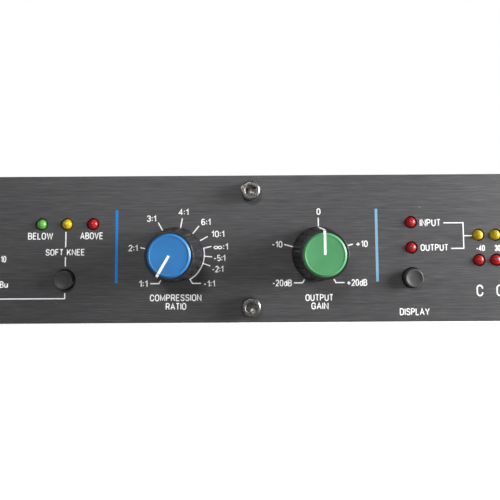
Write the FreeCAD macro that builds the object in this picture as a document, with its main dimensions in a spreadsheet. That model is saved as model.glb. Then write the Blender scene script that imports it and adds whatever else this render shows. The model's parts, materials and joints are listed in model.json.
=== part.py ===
"""Rack compressor, one rack unit high, as a parametric FreeCAD document.

Frame: origin at the centre of the rack mounting face (the rear face of the front panel),
+X to the right seen from the front, +Y towards the rear, +Z up. Millimetres.
"""
import FreeCAD, Part
import math
import os
import re
import Sketcher
from FreeCAD import Placement, Rotation, Vector

DIMENSIONS = {
    # front panel and its rack slots
    "panel_width": 482.6, "panel_height": 43.66, "panel_thick": 3.2,
    "slot_spacing_x": 465.1, "slot_spacing_z": 31.75, "slot_radius": 3.43, "slot_length": 10.3,
    # folded steel case
    "case_width": 430, "case_depth": 200, "case_height": 42.8, "sheet_thick": 1.2,
    "cover_flange": 15, "rear_tab": 10, "vent_width": 2.5, "vent_length": 32, "vent_pitch": 7,
    "vent_centre_x": 158, "vent_centre_y": 110,
    # socket head screws of the front panel
    "screw_column_x": 208, "screw_row_z": 17.1, "screw_head_radius": 2.87, "screw_head_height": 3.5,
    "screw_hex": 2.78, "screw_hex_depth": 1.9, "screw_shank_radius": 1.75, "screw_shank_length": 9.2,
    "screw_hole_radius": 1.9, "clinch_radius": 3.0, "clinch_length": 2.5, "clinch_bore": 1.78,
    # pan head screws of the cover, rear panel and boards
    "pan_head_radius": 2.75, "pan_head_height": 1.8, "pan_shank_radius": 1.45, "pan_shank_length": 6,
    "pan_hole_radius": 1.6, "pan_drive": 1.7, "pan_drive_depth": 1.0, "pan_head_round": 1.1,
    "cover_screw_z": 13, "cover_screw_first_y": 20, "cover_screw_pitch": 79,
    "rear_screw_x": 208.5, "rear_screw_z": 14,
    # controls: knobs on their potentiometers
    "threshold_x": -87.8, "ratio_x": -22.4, "gain_x": 20.25, "knob_row_z": -1.7,
    "knob_gap": 0.8, "knob_height": 15, "knob_base_radius": 8.1, "knob_skirt_radius": 7.85,
    "knob_skirt": 1.2, "knob_top_radius": 6.75, "cap_radius": 6.1, "cap_gap": 0.05, "cap_recess": 1.5,
    "cap_proud": 0.3, "skirt_cavity_radius": 6.25, "skirt_cavity_depth": 2.8,
    "hub_bore_radius": 3.02, "hub_bore_end": 2.3,
    "flute_radius": 0.9, "flute_depth": 0.32, "flute_count": 18,
    "shaft_radius": 3.0, "shaft_flat": 1.5, "shaft_tip_gap": 0.2, "shaft_inner_end": 5.8,
    "bushing_radius": 3.5, "bushing_bore": 3.06, "bushing_length": 6.2, "bushing_hole_radius": 3.6,
    "pot_case_width": 16, "pot_case_depth": 8.8, "pot_bore_depth": 4.9,
    "pot_nut_hex": 10, "pot_nut_thick": 2.0, "pot_nut_bore": 3.55, "pot_washer_radius": 5.6,
    "pot_washer_thick": 0.4,
    # controls: push buttons with their switches and springs
    "soft_knee_x": -55.3, "display_x": 47.9, "bypass_x": 172, "link_x": 184.5, "power_x": 197,
    "button_row_z": -9.0, "button_radius": 2.75, "button_proud": 2.5, "button_hole_radius": 3.05,
    "button_rear": 2.2, "button_rim": 0.45, "button_dish": 0.3, "button_edge": 0.25,
    "stem_width": 2.4, "stem_end": 7.4, "housing_width": 8, "housing_front": 5.2,
    "housing_bore": 2.7, "housing_bore_end": 9.7, "button_wall_radius": 4.0,
    "spring_radius": 2.1, "spring_wire": 0.15, "spring_gap": 0.05,
    # indicator lamps
    "lamp_radius": 1.5, "lamp_proud": 1.1, "lamp_length": 5.3, "lamp_flange": 1.9,
    "lamp_flange_thick": 1.0, "lamp_hole_radius": 1.65, "lamp_lead": 0.5, "lamp_lead_pitch": 2.54,
    "lamp_wall_radius": 2.4, "below_x": -62.6, "knee_lamp_x": -55.0, "above_x": -47.2,
    "lamp_row_z": 7.45, "output_lamp_z": -0.1,
    "meter_start_x": 67.95, "meter_pitch": 5.08, "level_row_z": 3.55, "reduction_row_z": -3.88,
    "level_lamps": 19, "reduction_lamps": 12, "meter_window_margin": 3, "meter_window_z": 6.6,
    # boards
    "board_thick": 1.6, "front_board_y": 10, "front_board_left": -106, "front_board_right": 205,
    "front_board_low": -19, "front_board_high": 19,
    "main_board_left": -206, "main_board_right": 118, "main_board_front": 28, "main_board_rear": 160,
    "standoff_height": 6, "standoff_hex": 5.5, "standoff_bore": 1.5, "board_screw_inset": 6,
    "board_hole_radius": 1.6,
    # parts on the main board
    "capacitor_radius": 6.3, "capacitor_height": 22, "capacitor_top_radius": 5.2, "capacitor_groove": 0.3,
    "capacitor_pitch": 18, "capacitor_inset": 20, "capacitor_first_y": 24,
    "sink_x": 60, "sink_y": 100, "sink_thick": 2.5, "sink_length": 44, "sink_height": 26, "fin_x": 66,
    "fin_first_y": 81, "fin_pitch": 7.6, "fin_depth": 9.6, "fin_thick": 1.6,
    "regulator_x": 56.5, "regulator_first_y": 90, "regulator_pitch": 20, "regulator_thick": 4.5,
    "regulator_width": 10, "regulator_lift": 5, "regulator_leg_thick": 0.6, "regulator_leg_width": 6,
    "group_pitch_x": 42, "group_pitch_y": 34, "chip_first_x": 40, "chip_first_y": 24, "chip_width": 6.4,
    "chip_length": 19.5, "chip_height": 3.4, "chip_lift": 0.5, "film_first_x": 54, "film_first_y": 20,
    "film_width": 4.5, "film_length": 12, "film_height": 9, "resistor_first_x": 24, "resistor_first_y": 20,
    "resistor_pitch": 3, "resistor_radius": 1.2, "resistor_length": 6.5, "resistor_lift": 1.3,
    "ribbon_left": -65, "ribbon_right": -40, "ribbon_thick": 1.2, "ribbon_top": 4, "ribbon_reach": 10,
    # mains transformer
    "transformer_x": 160, "transformer_y": 105, "core_width": 66, "core_depth": 54, "core_height": 22,
    "core_leg": 22, "core_window": 12, "core_window_depth": 34, "winding_gap": 0.3,
    "winding_height": 34, "transformer_z": -2.2, "foot_width": 10, "core_tool_over": 1,
    # rear connectors
    "input_x": -60, "output_x": -100, "connector_flange_width": 26, "connector_flange_height": 31,
    "connector_flange_thick": 2, "connector_radius": 11.8, "connector_hole": 12, "connector_depth": 22,
    "plug_cavity_radius": 9.6, "plug_cavity_depth": 16, "pin_circle": 4.15, "pin_radius": 1.2,
    "pin_recess": 5, "socket_insert_radius": 7.5, "socket_groove_depth": 12, "contact_hole": 1.3,
    "contact_depth": 10, "connector_screw_x": 9.5, "connector_screw_z": 12,
    "latch_width": 6, "latch_height": 2.6, "latch_proud": 2.5, "latch_gap": 0.25,
    "latch_z": 12.9, "latch_cavity": 5.5, "latch_travel": 2,
    "jack_first_x": -136, "jack_pitch": 21, "jack_bore": 3.25, "jack_tube": 4.5, "jack_proud": 4.2,
    "jack_tube_rear": 6, "jack_nut_hex": 12, "jack_nut_thick": 2, "jack_body_width": 14,
    "jack_body_height": 16, "jack_body_depth": 22, "jack_hole": 4.6, "jack_nut_bore": 4.55,
    "lift_x": -22, "lift_frame_width": 23, "lift_frame_height": 8, "lift_frame_thick": 0.8,
    "lift_slot_width": 10, "lift_slot_height": 4.4, "lift_body_width": 14, "lift_body_depth": 6,
    "slider_width": 5, "slider_height": 3.8, "slider_proud": 2.4, "slider_depth": 4.5, "slider_end_gap": 0.4,
    "lift_cavity": 5,
    "fuse_x": 127, "fuse_radius": 6.2, "fuse_hole": 6.4, "fuse_flange": 8.5, "fuse_flange_thick": 2,
    "fuse_depth": 26, "fuse_bore": 4.6, "fuse_cap_radius": 5.6, "fuse_cap_length": 6,
    "fuse_stem_radius": 4.5, "fuse_stem_length": 12, "fuse_slot": 1.4, "fuse_slot_depth": 1.5,
    "fuse_end_wall": 2, "fuse_cap_gap": 0.15,
    "inlet_x": 176, "inlet_flange_width": 50, "inlet_flange_height": 26, "inlet_flange_thick": 3,
    "inlet_body_width": 28, "inlet_body_height": 20.4, "inlet_depth": 20, "inlet_cavity_width": 24.4,
    "inlet_cavity_height": 16.4, "inlet_cavity_depth": 19, "inlet_pin_x": 7, "inlet_pin_offset": 2,
    "inlet_pin_width": 2, "inlet_pin_height": 4, "inlet_pin_recess": 5,
    "inlet_screw_x": 20,
}

document = FreeCAD.newDocument("rack_compressor")
sheet = document.addObject("Spreadsheet::Sheet", "dims")
for row, (alias, size) in enumerate(DIMENSIONS.items(), start=1):
    sheet.set("A%d" % row, alias)
    sheet.set("B%d" % row, str(size))
    sheet.setAlias("B%d" % row, alias)
document.recompute()

nodes = {}


# ---- helpers: every size is an expression over the sheet's names ----

def expression(text):
    """Every name with an underscore is a cell of the sheet."""
    return re.sub(r"[a-z]+_[a-z_]+", r"dims.\g<0>", str(text))


def value(text):
    result = sheet.evalExpression(expression(text))
    return float(getattr(result, "Value", result))


def bind(item, prop, text):
    item.setExpression(prop, expression(text))


def place(item, x, y, z, rotation=None):
    item.Placement = Placement(Vector(value(x), value(y), value(z)), rotation or Rotation())
    for letter, text in zip("xyz", (x, y, z)):
        bind(item, "Placement.Base." + letter, text)
    return item


def node(label, item):
    item.Label = label
    nodes[label] = item
    return item


def plane_of(body, role):
    return [item for item in body.Origin.OriginFeatures if item.Role == role][0]


def new_body(name):
    return document.addObject("PartDesign::Body", name)


def new_sketch(body, role, offset="0"):
    sketch = body.newObject("Sketcher::SketchObject", body.Name + "_sketch")
    sketch.AttachmentSupport = [(plane_of(body, role), "")]
    sketch.MapMode = "FlatFace"
    bind(sketch, "AttachmentOffset.Base.z", offset)
    return sketch


def fix(sketch, kind, *arguments):
    """Adds a driving constraint whose size is the last argument, an expression."""
    text = arguments[-1]
    index = sketch.addConstraint(Sketcher.Constraint(kind, *arguments[:-1], value(text)))
    sketch.setExpression("Constraints[%d]" % index, expression(text))


def polygon(sketch, corners):
    first = sketch.GeometryCount
    count = len(corners)
    points = [Vector(value(x), value(y), 0) for x, y in corners]
    for i in range(count):
        sketch.addGeometry(Part.LineSegment(points[i], points[(i + 1) % count]), False)
    for i in range(count):
        after = first + (i + 1) % count
        sketch.addConstraint(Sketcher.Constraint("Coincident", first + i, 2, after, 1))
        fix(sketch, "DistanceX", -1, 1, first + i, 1, corners[i][0])
        fix(sketch, "DistanceY", -1, 1, first + i, 1, corners[i][1])


def rectangle(sketch, x0, x1, y0, y1):
    polygon(sketch, [(x0, y0), (x1, y0), (x1, y1), (x0, y1)])


def circle(sketch, x, y, radius):
    centre = Vector(value(x), value(y), 0)
    index = sketch.addGeometry(Part.Circle(centre, Vector(0, 0, 1), value(radius)), False)
    fix(sketch, "DistanceX", -1, 1, index, 3, x)
    fix(sketch, "DistanceY", -1, 1, index, 3, y)
    fix(sketch, "Radius", index, radius)


def slot(sketch, x, y, length, radius):
    """A slot with round ends along the sketch's first axis."""
    half = "((%s) / 2 - (%s))" % (length, radius)
    r = value(radius)
    ends = ["(%s) - %s" % (x, half), "(%s) + %s" % (x, half)]
    left, right = [Vector(value(end), value(y), 0) for end in ends]
    axis = Vector(0, 0, 1)
    quarter = math.pi / 2
    first = sketch.addGeometry(Part.ArcOfCircle(Part.Circle(left, axis, r), quarter, 3 * quarter), False)
    sketch.addGeometry(Part.LineSegment(left - Vector(0, r, 0), right - Vector(0, r, 0)), False)
    sketch.addGeometry(Part.ArcOfCircle(Part.Circle(right, axis, r), -quarter, quarter), False)
    sketch.addGeometry(Part.LineSegment(right + Vector(0, r, 0), left + Vector(0, r, 0)), False)
    for i in range(4):
        after = first + (i + 1) % 4
        sketch.addConstraint(Sketcher.Constraint("Tangent", first + i, 2, after, 1))
    sketch.addConstraint(Sketcher.Constraint("Equal", first, first + 2))
    fix(sketch, "Radius", first, radius)
    for arc, end in ((first, ends[0]), (first + 2, ends[1])):
        fix(sketch, "DistanceX", -1, 1, arc, 3, end)
        fix(sketch, "DistanceY", -1, 1, arc, 3, y)


def pad(body, role, low, high, outline):
    """A pad between two planes across Y (XZ_Plane), Z (XY_Plane) or X (YZ_Plane)."""
    start = "-(%s)" % high if role == "XZ_Plane" else low
    sketch = new_sketch(body, role, start)
    outline(sketch)
    feature = body.newObject("PartDesign::Pad", body.Name + "_pad")
    feature.Profile = sketch
    bind(feature, "Length", "(%s) - (%s)" % (high, low))
    return feature


def pocket(body, role, low, high, outline):
    """A pocket between two planes: the sketch lies on one and the cut runs to the other."""
    document.recompute()
    before = body.Shape.Volume
    start = "-(%s)" % low if role == "XZ_Plane" else high
    sketch = new_sketch(body, role, start)
    outline(sketch)
    feature = body.newObject("PartDesign::Pocket", body.Name + "_pocket")
    feature.Profile = sketch
    bind(feature, "Length", "(%s) - (%s)" % (high, low))
    document.recompute()
    if not body.Shape.Volume < before:
        raise ValueError("pocket of %s cuts nothing" % body.Name)
    return feature


def turned(name, profile):
    """A solid of revolution about Y: the profile's corners are (radius, y)."""
    body = new_body(name)
    sketch = new_sketch(body, "XY_Plane")
    polygon(sketch, profile)
    feature = body.newObject("PartDesign::Revolution", name + "_turn")
    feature.Profile = sketch
    feature.ReferenceAxis = (sketch, ["V_Axis"])
    feature.Angle = 360
    return body


def block(name, x, y, z):
    """A box from pairs of low and high planes."""
    item = document.addObject("Part::Box", name)
    for prop, (low, high) in (("Length", x), ("Width", y), ("Height", z)):
        bind(item, prop, "(%s) - (%s)" % (high, low))
    return place(item, x[0], y[0], z[0])


AXIS_TURN = {
    "x": Rotation(Vector(0, 1, 0), 90),
    "y": Rotation(Vector(1, 0, 0), -90),
    "z": Rotation(),
}


def rod(name, radius, start, length, axis="y"):
    item = document.addObject("Part::Cylinder", name)
    bind(item, "Radius", radius)
    bind(item, "Height", length)
    return place(item, *start, rotation=AXIS_TURN[axis])


def hexagon(name, across, start, length, axis="y"):
    item = document.addObject("Part::Prism", name)
    item.Polygon = 6
    bind(item, "Circumradius", "(%s) / 2 / cos(30)" % across)
    bind(item, "Height", length)
    return place(item, *start, rotation=AXIS_TURN[axis])


def fuse(name, *parts):
    item = document.addObject("Part::MultiFuse", name)
    item.Shapes = list(parts)
    return item


def cut(name, base, *tools):
    item = document.addObject("Part::Cut", name)
    item.Base = base
    item.Tool = tools[0] if len(tools) == 1 else fuse(name + "_tools", *tools)
    return item


def group(name, parts):
    item = document.addObject("Part::Compound", name)
    item.Links = list(parts)
    return item


def copies(template, places, rotations=None):
    """Linked copies of one piece at a list of places."""
    result = []
    for i, where in enumerate(places):
        link = document.addObject("App::Link", "%s_copy_%d" % (template.Name, i))
        link.LinkedObject = template
        result.append(place(link, *where, rotation=rotations[i] if rotations else None))
    return result


# ---- places shared by several pieces ----

KNOBS = {"threshold": "threshold_x", "ratio": "ratio_x", "gain": "gain_x"}
BUTTONS = {"soft_knee": "soft_knee_x", "display": "display_x", "bypass": "bypass_x",
           "link": "link_x", "power": "power_x"}
LAMPS = {
    "green_lamps": [("below_x", "lamp_row_z"), ("power_x", "output_lamp_z")],
    "yellow_lamps": [("knee_lamp_x", "lamp_row_z"), ("link_x", "output_lamp_z")],
    "red_lamps": [("above_x", "lamp_row_z"), ("display_x", "lamp_row_z"),
                  ("display_x", "output_lamp_z"), ("bypass_x", "output_lamp_z")],
    "level_meter_lamps": [("meter_start_x + %d * meter_pitch" % i, "level_row_z")
                          for i in range(int(value("level_lamps")))],
    "reduction_meter_lamps": [("meter_start_x + %d * meter_pitch" % i, "reduction_row_z")
                              for i in range(int(value("reduction_lamps")))],
}
PANEL_SCREWS = [(x, z) for x in ("-screw_column_x", "0", "screw_column_x")
                for z in ("-screw_row_z", "screw_row_z")]
REAR_SCREWS = [(x, z) for x in ("-rear_screw_x", "rear_screw_x") for z in ("-rear_screw_z", "rear_screw_z")]
COVER_SCREW_ROWS = ["cover_screw_first_y + %d * cover_screw_pitch" % i for i in range(3)]
CONNECTORS = ("input_x", "output_x")
CONNECTOR_SCREWS = [("%s + %d * connector_screw_x" % (x, side), "%d * connector_screw_z" % side)
                    for x in CONNECTORS for side in (-1, 1)]
INLET_SCREWS = [("inlet_x - inlet_screw_x", "0"), ("inlet_x + inlet_screw_x", "0")]
JACKS = ["jack_first_x - %d * jack_pitch" % i for i in range(3)]

CASE_LOW = "-case_height / 2"
CASE_HIGH = "case_height / 2"
FLOOR_TOP = "-case_height / 2 + sheet_thick"
COVER_LOW = "case_height / 2 - sheet_thick"
SIDE_OUT = "case_width / 2"
SIDE_IN = "case_width / 2 - sheet_thick"
REAR_IN = "case_depth - sheet_thick"
PANEL_FRONT = "-panel_thick"


# ---- front panel ----

def make_front_panel():
    body = new_body("front_panel_body")
    pad(body, "XZ_Plane", PANEL_FRONT, "0", lambda sketch: rectangle(
        sketch, "-panel_width / 2", "panel_width / 2", "-panel_height / 2", "panel_height / 2"))

    def mounting(sketch):
        for x in ("-slot_spacing_x / 2", "slot_spacing_x / 2"):
            for z in ("-slot_spacing_z / 2", "slot_spacing_z / 2"):
                slot(sketch, x, z, "slot_length", "slot_radius")
        for x, z in PANEL_SCREWS:
            circle(sketch, x, z, "screw_hole_radius")

    def controls(sketch):
        for x in KNOBS.values():
            circle(sketch, x, "knob_row_z", "bushing_hole_radius")
        for x in BUTTONS.values():
            circle(sketch, x, "button_row_z", "button_hole_radius")
        for name in ("green_lamps", "yellow_lamps", "red_lamps"):
            for x, z in LAMPS[name]:
                circle(sketch, x, z, "lamp_hole_radius")

    pocket(body, "XZ_Plane", PANEL_FRONT, "0", mounting)
    pocket(body, "XZ_Plane", PANEL_FRONT, "0", controls)
    for row_z, count in (("level_row_z", "level_lamps"), ("reduction_row_z", "reduction_lamps")):
        first = pocket(body, "XZ_Plane", PANEL_FRONT, "0", lambda sketch: circle(
            sketch, "meter_start_x", row_z, "lamp_hole_radius"))
        pattern = body.newObject("PartDesign::LinearPattern", row_z + "_pattern")
        pattern.Originals = [first]
        pattern.Direction = (first.Profile[0], ["H_Axis"])
        bind(pattern, "Length", "(%s - 1) * meter_pitch" % count)
        bind(pattern, "Occurrences", count)
        body.Tip = pattern
    node("front_panel", body)


# ---- folded case: base with front wall, sides and rear tabs; cover; rear panel ----

def make_case_base():
    body = new_body("chassis_base_body")
    outline = [("-(%s)" % SIDE_OUT, CASE_LOW), (SIDE_OUT, CASE_LOW), (SIDE_OUT, COVER_LOW),
               (SIDE_IN, COVER_LOW), (SIDE_IN, FLOOR_TOP), ("-(%s)" % SIDE_IN, FLOOR_TOP),
               ("-(%s)" % SIDE_IN, COVER_LOW), ("-(%s)" % SIDE_OUT, COVER_LOW)]
    pad(body, "XZ_Plane", "0", REAR_IN, lambda sketch: polygon(sketch, outline))
    pad(body, "XZ_Plane", "0", "sheet_thick", lambda sketch: rectangle(
        sketch, "-(%s)" % SIDE_OUT, SIDE_OUT, CASE_LOW, COVER_LOW))
    for side in (-1, 1):
        ends = ["%d * (%s)" % (side, SIDE_IN), "%d * (%s - rear_tab)" % (side, SIDE_IN)]
        ends.sort(key=value)
        pad(body, "XZ_Plane", "case_depth - 2 * sheet_thick", REAR_IN, lambda sketch: rectangle(
            sketch, ends[0], ends[1], FLOOR_TOP, COVER_LOW))

    def wall_openings(sketch):
        for x, z in PANEL_SCREWS:
            circle(sketch, x, z, "screw_hole_radius")
        for x in KNOBS.values():
            circle(sketch, x, "knob_row_z", "bushing_hole_radius")
        for x in BUTTONS.values():
            circle(sketch, x, "button_row_z", "button_wall_radius")
        for name in ("green_lamps", "yellow_lamps", "red_lamps"):
            for x, z in LAMPS[name]:
                circle(sketch, x, z, "lamp_wall_radius")
        rectangle(sketch, "meter_start_x - meter_window_margin",
                  "meter_start_x + (level_lamps - 1) * meter_pitch + meter_window_margin",
                  "-meter_window_z", "meter_window_z")

    def tab_holes(sketch):
        for x, z in REAR_SCREWS:
            circle(sketch, x, z, "pan_hole_radius")

    def side_holes(sketch):
        for y in COVER_SCREW_ROWS:
            circle(sketch, y, "cover_screw_z", "pan_hole_radius")

    pocket(body, "XZ_Plane", "0", "sheet_thick", wall_openings)
    pocket(body, "XZ_Plane", "case_depth - 2 * sheet_thick", REAR_IN, tab_holes)
    pocket(body, "YZ_Plane", SIDE_IN, SIDE_OUT, side_holes)
    pocket(body, "YZ_Plane", "-(%s)" % SIDE_OUT, "-(%s)" % SIDE_IN, side_holes)
    node("chassis_base", body)


def vent_sketch_pocket(body, vents):
    """The vents are drawn with the sheet turned a quarter turn, so that they run front to rear."""
    document.recompute()
    before = body.Shape.Volume
    sketch = new_sketch(body, "XY_Plane")
    sketch.AttachmentOffset = Placement(Vector(0, 0, value(CASE_HIGH)), Rotation(Vector(0, 0, 1), 90))
    bind(sketch, "AttachmentOffset.Base.z", CASE_HIGH)
    vents(sketch)
    feature = body.newObject("PartDesign::Pocket", "vent_pocket")
    feature.Profile = sketch
    bind(feature, "Length", "sheet_thick")
    document.recompute()
    if not body.Shape.Volume < before:
        raise ValueError("the vents cut nothing")


def make_cover():
    body = new_body("top_cover_body")
    wide = "%s + sheet_thick" % SIDE_OUT
    skirt = "case_height / 2 - cover_flange"
    outline = [("-(%s)" % wide, skirt), ("-(%s)" % SIDE_OUT, skirt), ("-(%s)" % SIDE_OUT, COVER_LOW),
               (SIDE_OUT, COVER_LOW), (SIDE_OUT, skirt), (wide, skirt), (wide, CASE_HIGH),
               ("-(%s)" % wide, CASE_HIGH)]
    pad(body, "XZ_Plane", "0", REAR_IN, lambda sketch: polygon(sketch, outline))

    def side_holes(sketch):
        for y in COVER_SCREW_ROWS:
            circle(sketch, y, "cover_screw_z", "pan_hole_radius")

    def vents(sketch):
        for row_y in (-1, 1):
            for i in range(-4, 5):
                slot(sketch, "vent_centre_y + %d * (vent_length / 2 + 4)" % row_y,
                     "-vent_centre_x + %d * vent_pitch" % i, "vent_length", "vent_width / 2")

    pocket(body, "YZ_Plane", SIDE_OUT, wide, side_holes)
    pocket(body, "YZ_Plane", "-(%s)" % wide, "-(%s)" % SIDE_OUT, side_holes)
    vent_sketch_pocket(body, vents)
    node("top_cover", body)


def make_rear_panel():
    body = new_body("rear_panel_body")
    pad(body, "XZ_Plane", REAR_IN, "case_depth", lambda sketch: rectangle(
        sketch, "-(%s)" % SIDE_OUT, SIDE_OUT, CASE_LOW, CASE_HIGH))

    def openings(sketch):
        for x in CONNECTORS:
            circle(sketch, x, "0", "connector_hole")
        for x in JACKS:
            circle(sketch, x, "0", "jack_hole")
        circle(sketch, "fuse_x", "0", "fuse_hole")
        rectangle(sketch, "inlet_x - inlet_body_width / 2", "inlet_x + inlet_body_width / 2",
                  "-inlet_body_height / 2", "inlet_body_height / 2")
        rectangle(sketch, "lift_x - lift_slot_width / 2", "lift_x + lift_slot_width / 2",
                  "-lift_slot_height / 2", "lift_slot_height / 2")
        for x, z in REAR_SCREWS + CONNECTOR_SCREWS + INLET_SCREWS:
            circle(sketch, x, z, "pan_hole_radius")

    def latch_notch(sketch):
        rectangle(sketch, "input_x - latch_width / 2 - latch_gap", "input_x + latch_width / 2 + latch_gap",
                  "connector_hole / 2", "latch_z + latch_height / 2 + latch_gap")

    pocket(body, "XZ_Plane", REAR_IN, "case_depth", openings)
    pocket(body, "XZ_Plane", REAR_IN, "case_depth", latch_notch)
    node("rear_panel", body)


# ---- screws ----

def make_panel_screws():
    head = rod("panel_screw_head", "screw_head_radius", ("0", "-screw_head_height", "0"),
               "screw_head_height")
    shank = rod("panel_screw_shank", "screw_shank_radius", ("0", "0", "0"), "screw_shank_length")
    hexagon_socket = hexagon("panel_screw_hex", "screw_hex", ("0", "-screw_head_height", "0"),
                             "screw_hex_depth")
    screw = cut("panel_screw", fuse("panel_screw_blank", head, shank), hexagon_socket)
    places = [(x, PANEL_FRONT, z) for x, z in PANEL_SCREWS]
    node("panel_screws", group("panel_screw_set", copies(screw, places)))
    nut = cut("clinch_nut", rod("clinch_body", "clinch_radius", ("0", "0", "0"), "clinch_length"),
              rod("clinch_hole", "clinch_bore", ("0", "0", "0"), "clinch_length"))
    places = [(x, "sheet_thick", z) for x, z in PANEL_SCREWS]
    node("clinch_nuts", group("clinch_nut_set", copies(nut, places)))


def make_pan_screw():
    """Pan head screw along Y with its head towards -Y and the head's underside at the origin."""
    head = rod("pan_head", "pan_head_radius", ("0", "-pan_head_height", "0"), "pan_head_height")
    edge = document.addObject("Part::Fillet", "pan_head_round")
    edge.Base = head
    document.recompute()
    rims = [i + 1 for i, item in enumerate(head.Shape.Edges)
            if item.Curve.TypeId == "Part::GeomCircle" and item.Curve.Center.y < -0.1]
    edge.Edges = [(i, value("pan_head_round"), value("pan_head_round")) for i in rims]
    shank = rod("pan_shank", "pan_shank_radius", ("0", "0", "0"), "pan_shank_length")
    drive = ("-pan_head_height", "-pan_head_height + pan_drive_depth")
    shapes = (("pan_drive", "pan_drive / 5"), ("pan_drive / 5", "pan_drive"))
    bars = [block("pan_bar_%d" % i, ("-" + wide, wide), drive, ("-" + tall, tall))
            for i, (wide, tall) in enumerate(shapes)]
    return cut("pan_screw", fuse("pan_blank", edge, shank), *bars)


def make_case_screws(screw):
    toward_left = Rotation(Vector(0, 0, 1), 90)
    toward_right = Rotation(Vector(0, 0, 1), -90)
    places = [("%s + sheet_thick" % SIDE_OUT, y, "cover_screw_z") for y in COVER_SCREW_ROWS]
    mirrored = [("-(%s)" % x, y, z) for x, y, z in places]
    right = copies(screw, places, [toward_left] * 3)
    left = copies(screw, mirrored, [toward_right] * 3)
    node("cover_screws", group("cover_screw_set", right + left))
    backward = Rotation(Vector(0, 0, 1), 180)
    rear = [(x, "case_depth", z) for x, z in REAR_SCREWS]
    rear += [(x, "case_depth + connector_flange_thick", z) for x, z in CONNECTOR_SCREWS]
    rear += [(x, "case_depth + inlet_flange_thick", z) for x, z in INLET_SCREWS]
    node("rear_screws", group("rear_screw_set", copies(screw, rear, [backward] * len(rear))))


# ---- knobs and potentiometers ----

KNOB_REAR = "-(panel_thick + knob_gap)"
KNOB_FRONT = "-(panel_thick + knob_height)"
CAP_FLOOR = "%s + cap_recess" % KNOB_FRONT
HUB_END = "%s + hub_bore_end" % KNOB_FRONT


def make_flute_tool():
    """A thin rod that lies along the knob's sloping side."""
    rise = value("knob_skirt_radius - knob_top_radius")
    run = value("knob_height - knob_gap - knob_skirt")
    slope = math.degrees(math.atan2(rise, run))
    tool = document.addObject("Part::Cylinder", "flute_tool")
    bind(tool, "Radius", "flute_radius")
    bind(tool, "Height", "knob_height - knob_gap - knob_skirt + 1")
    foot = Vector(value("knob_skirt_radius + flute_radius - flute_depth"),
                  value("%s - knob_skirt" % KNOB_REAR), 0)
    lean = Rotation(Vector(0, 0, 1), -slope).multiply(Rotation(Vector(1, 0, 0), 90))
    tool.Placement = Placement(foot, lean)
    return tool


def make_knob_template():
    profile = [("0", CAP_FLOOR), ("cap_radius + cap_gap", CAP_FLOOR), ("cap_radius + cap_gap", KNOB_FRONT),
               ("knob_top_radius", KNOB_FRONT), ("knob_skirt_radius", "%s - knob_skirt" % KNOB_REAR),
               ("knob_base_radius", KNOB_REAR), ("skirt_cavity_radius", KNOB_REAR),
               ("skirt_cavity_radius", "%s - skirt_cavity_depth" % KNOB_REAR),
               ("hub_bore_radius", "%s - skirt_cavity_depth" % KNOB_REAR),
               ("hub_bore_radius", HUB_END), ("0", HUB_END)]
    blank = turned("knob_blank", profile)
    tool = make_flute_tool()
    turns = []
    count = int(value("flute_count"))
    for i in range(count):
        link = document.addObject("App::Link", "flute_%d" % i)
        link.LinkedObject = tool
        turn = Rotation(Vector(0, 1, 0), i * 360 / count)
        link.LinkTransform = True
        link.Placement = Placement(Vector(0, 0, 0), turn)
        turns.append(link)
    return cut("knob", blank, group("flute_set", turns))


def make_knobs():
    knob = make_knob_template()
    cap = turned("cap_blank", [
        ("0", CAP_FLOOR), ("cap_radius", CAP_FLOOR), ("cap_radius", "%s - cap_proud + 0.3" % KNOB_FRONT),
        ("cap_radius - 0.3", "%s - cap_proud" % KNOB_FRONT), ("0", "%s - cap_proud" % KNOB_FRONT)])
    shaft_start = "%s + shaft_tip_gap" % HUB_END
    shaft_round = rod("shaft_round", "shaft_radius", ("0", shaft_start, "0"),
                      "shaft_inner_end - (%s)" % shaft_start)
    flat = block("shaft_flat_tool", ("-shaft_radius", "shaft_radius"), (shaft_start, "-bushing_length - 1"),
                 ("shaft_flat", "shaft_radius + 1"))
    shaft = cut("pot_shaft", shaft_round, flat)
    for name, x in KNOBS.items():
        where = (x, "0", "knob_row_z")
        for suffix, template in (("knob", knob), ("knob_cap", cap), ("shaft", shaft)):
            node("%s_%s" % (name, suffix), group("%s_%s_set" % (name, suffix), copies(template, [where])))


def make_pots():
    case = block("pot_box", ("-pot_case_width / 2", "pot_case_width / 2"),
                 ("sheet_thick", "sheet_thick + pot_case_depth"),
                 ("-pot_case_width / 2", "pot_case_width / 2"))
    tube = rod("pot_tube", "bushing_radius", ("0", "-bushing_length", "0"), "bushing_length + sheet_thick")
    bore = rod("pot_bore", "bushing_bore", ("0", "-bushing_length", "0"),
               "bushing_length + sheet_thick + pot_bore_depth")
    pot = cut("potentiometer", fuse("pot_blank", case, tube), bore)
    washer = cut("pot_washer",
                 rod("washer_disc", "pot_washer_radius", ("0", "%s - pot_washer_thick" % PANEL_FRONT, "0"),
                     "pot_washer_thick"),
                 rod("washer_hole", "pot_nut_bore", ("0", "%s - pot_washer_thick" % PANEL_FRONT, "0"),
                     "pot_washer_thick"))
    nut_front = "%s - pot_washer_thick - pot_nut_thick" % PANEL_FRONT
    nut = cut("pot_nut", hexagon("nut_hex", "pot_nut_hex", ("0", nut_front, "0"), "pot_nut_thick"),
              rod("nut_hole", "pot_nut_bore", ("0", nut_front, "0"), "pot_nut_thick"))
    places = [(x, "0", "knob_row_z") for x in KNOBS.values()]
    node("potentiometers", group("pot_set", copies(pot, places)))
    node("pot_nuts", group("pot_nut_set", copies(nut, places) + copies(washer, places)))


# ---- push buttons ----

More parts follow.
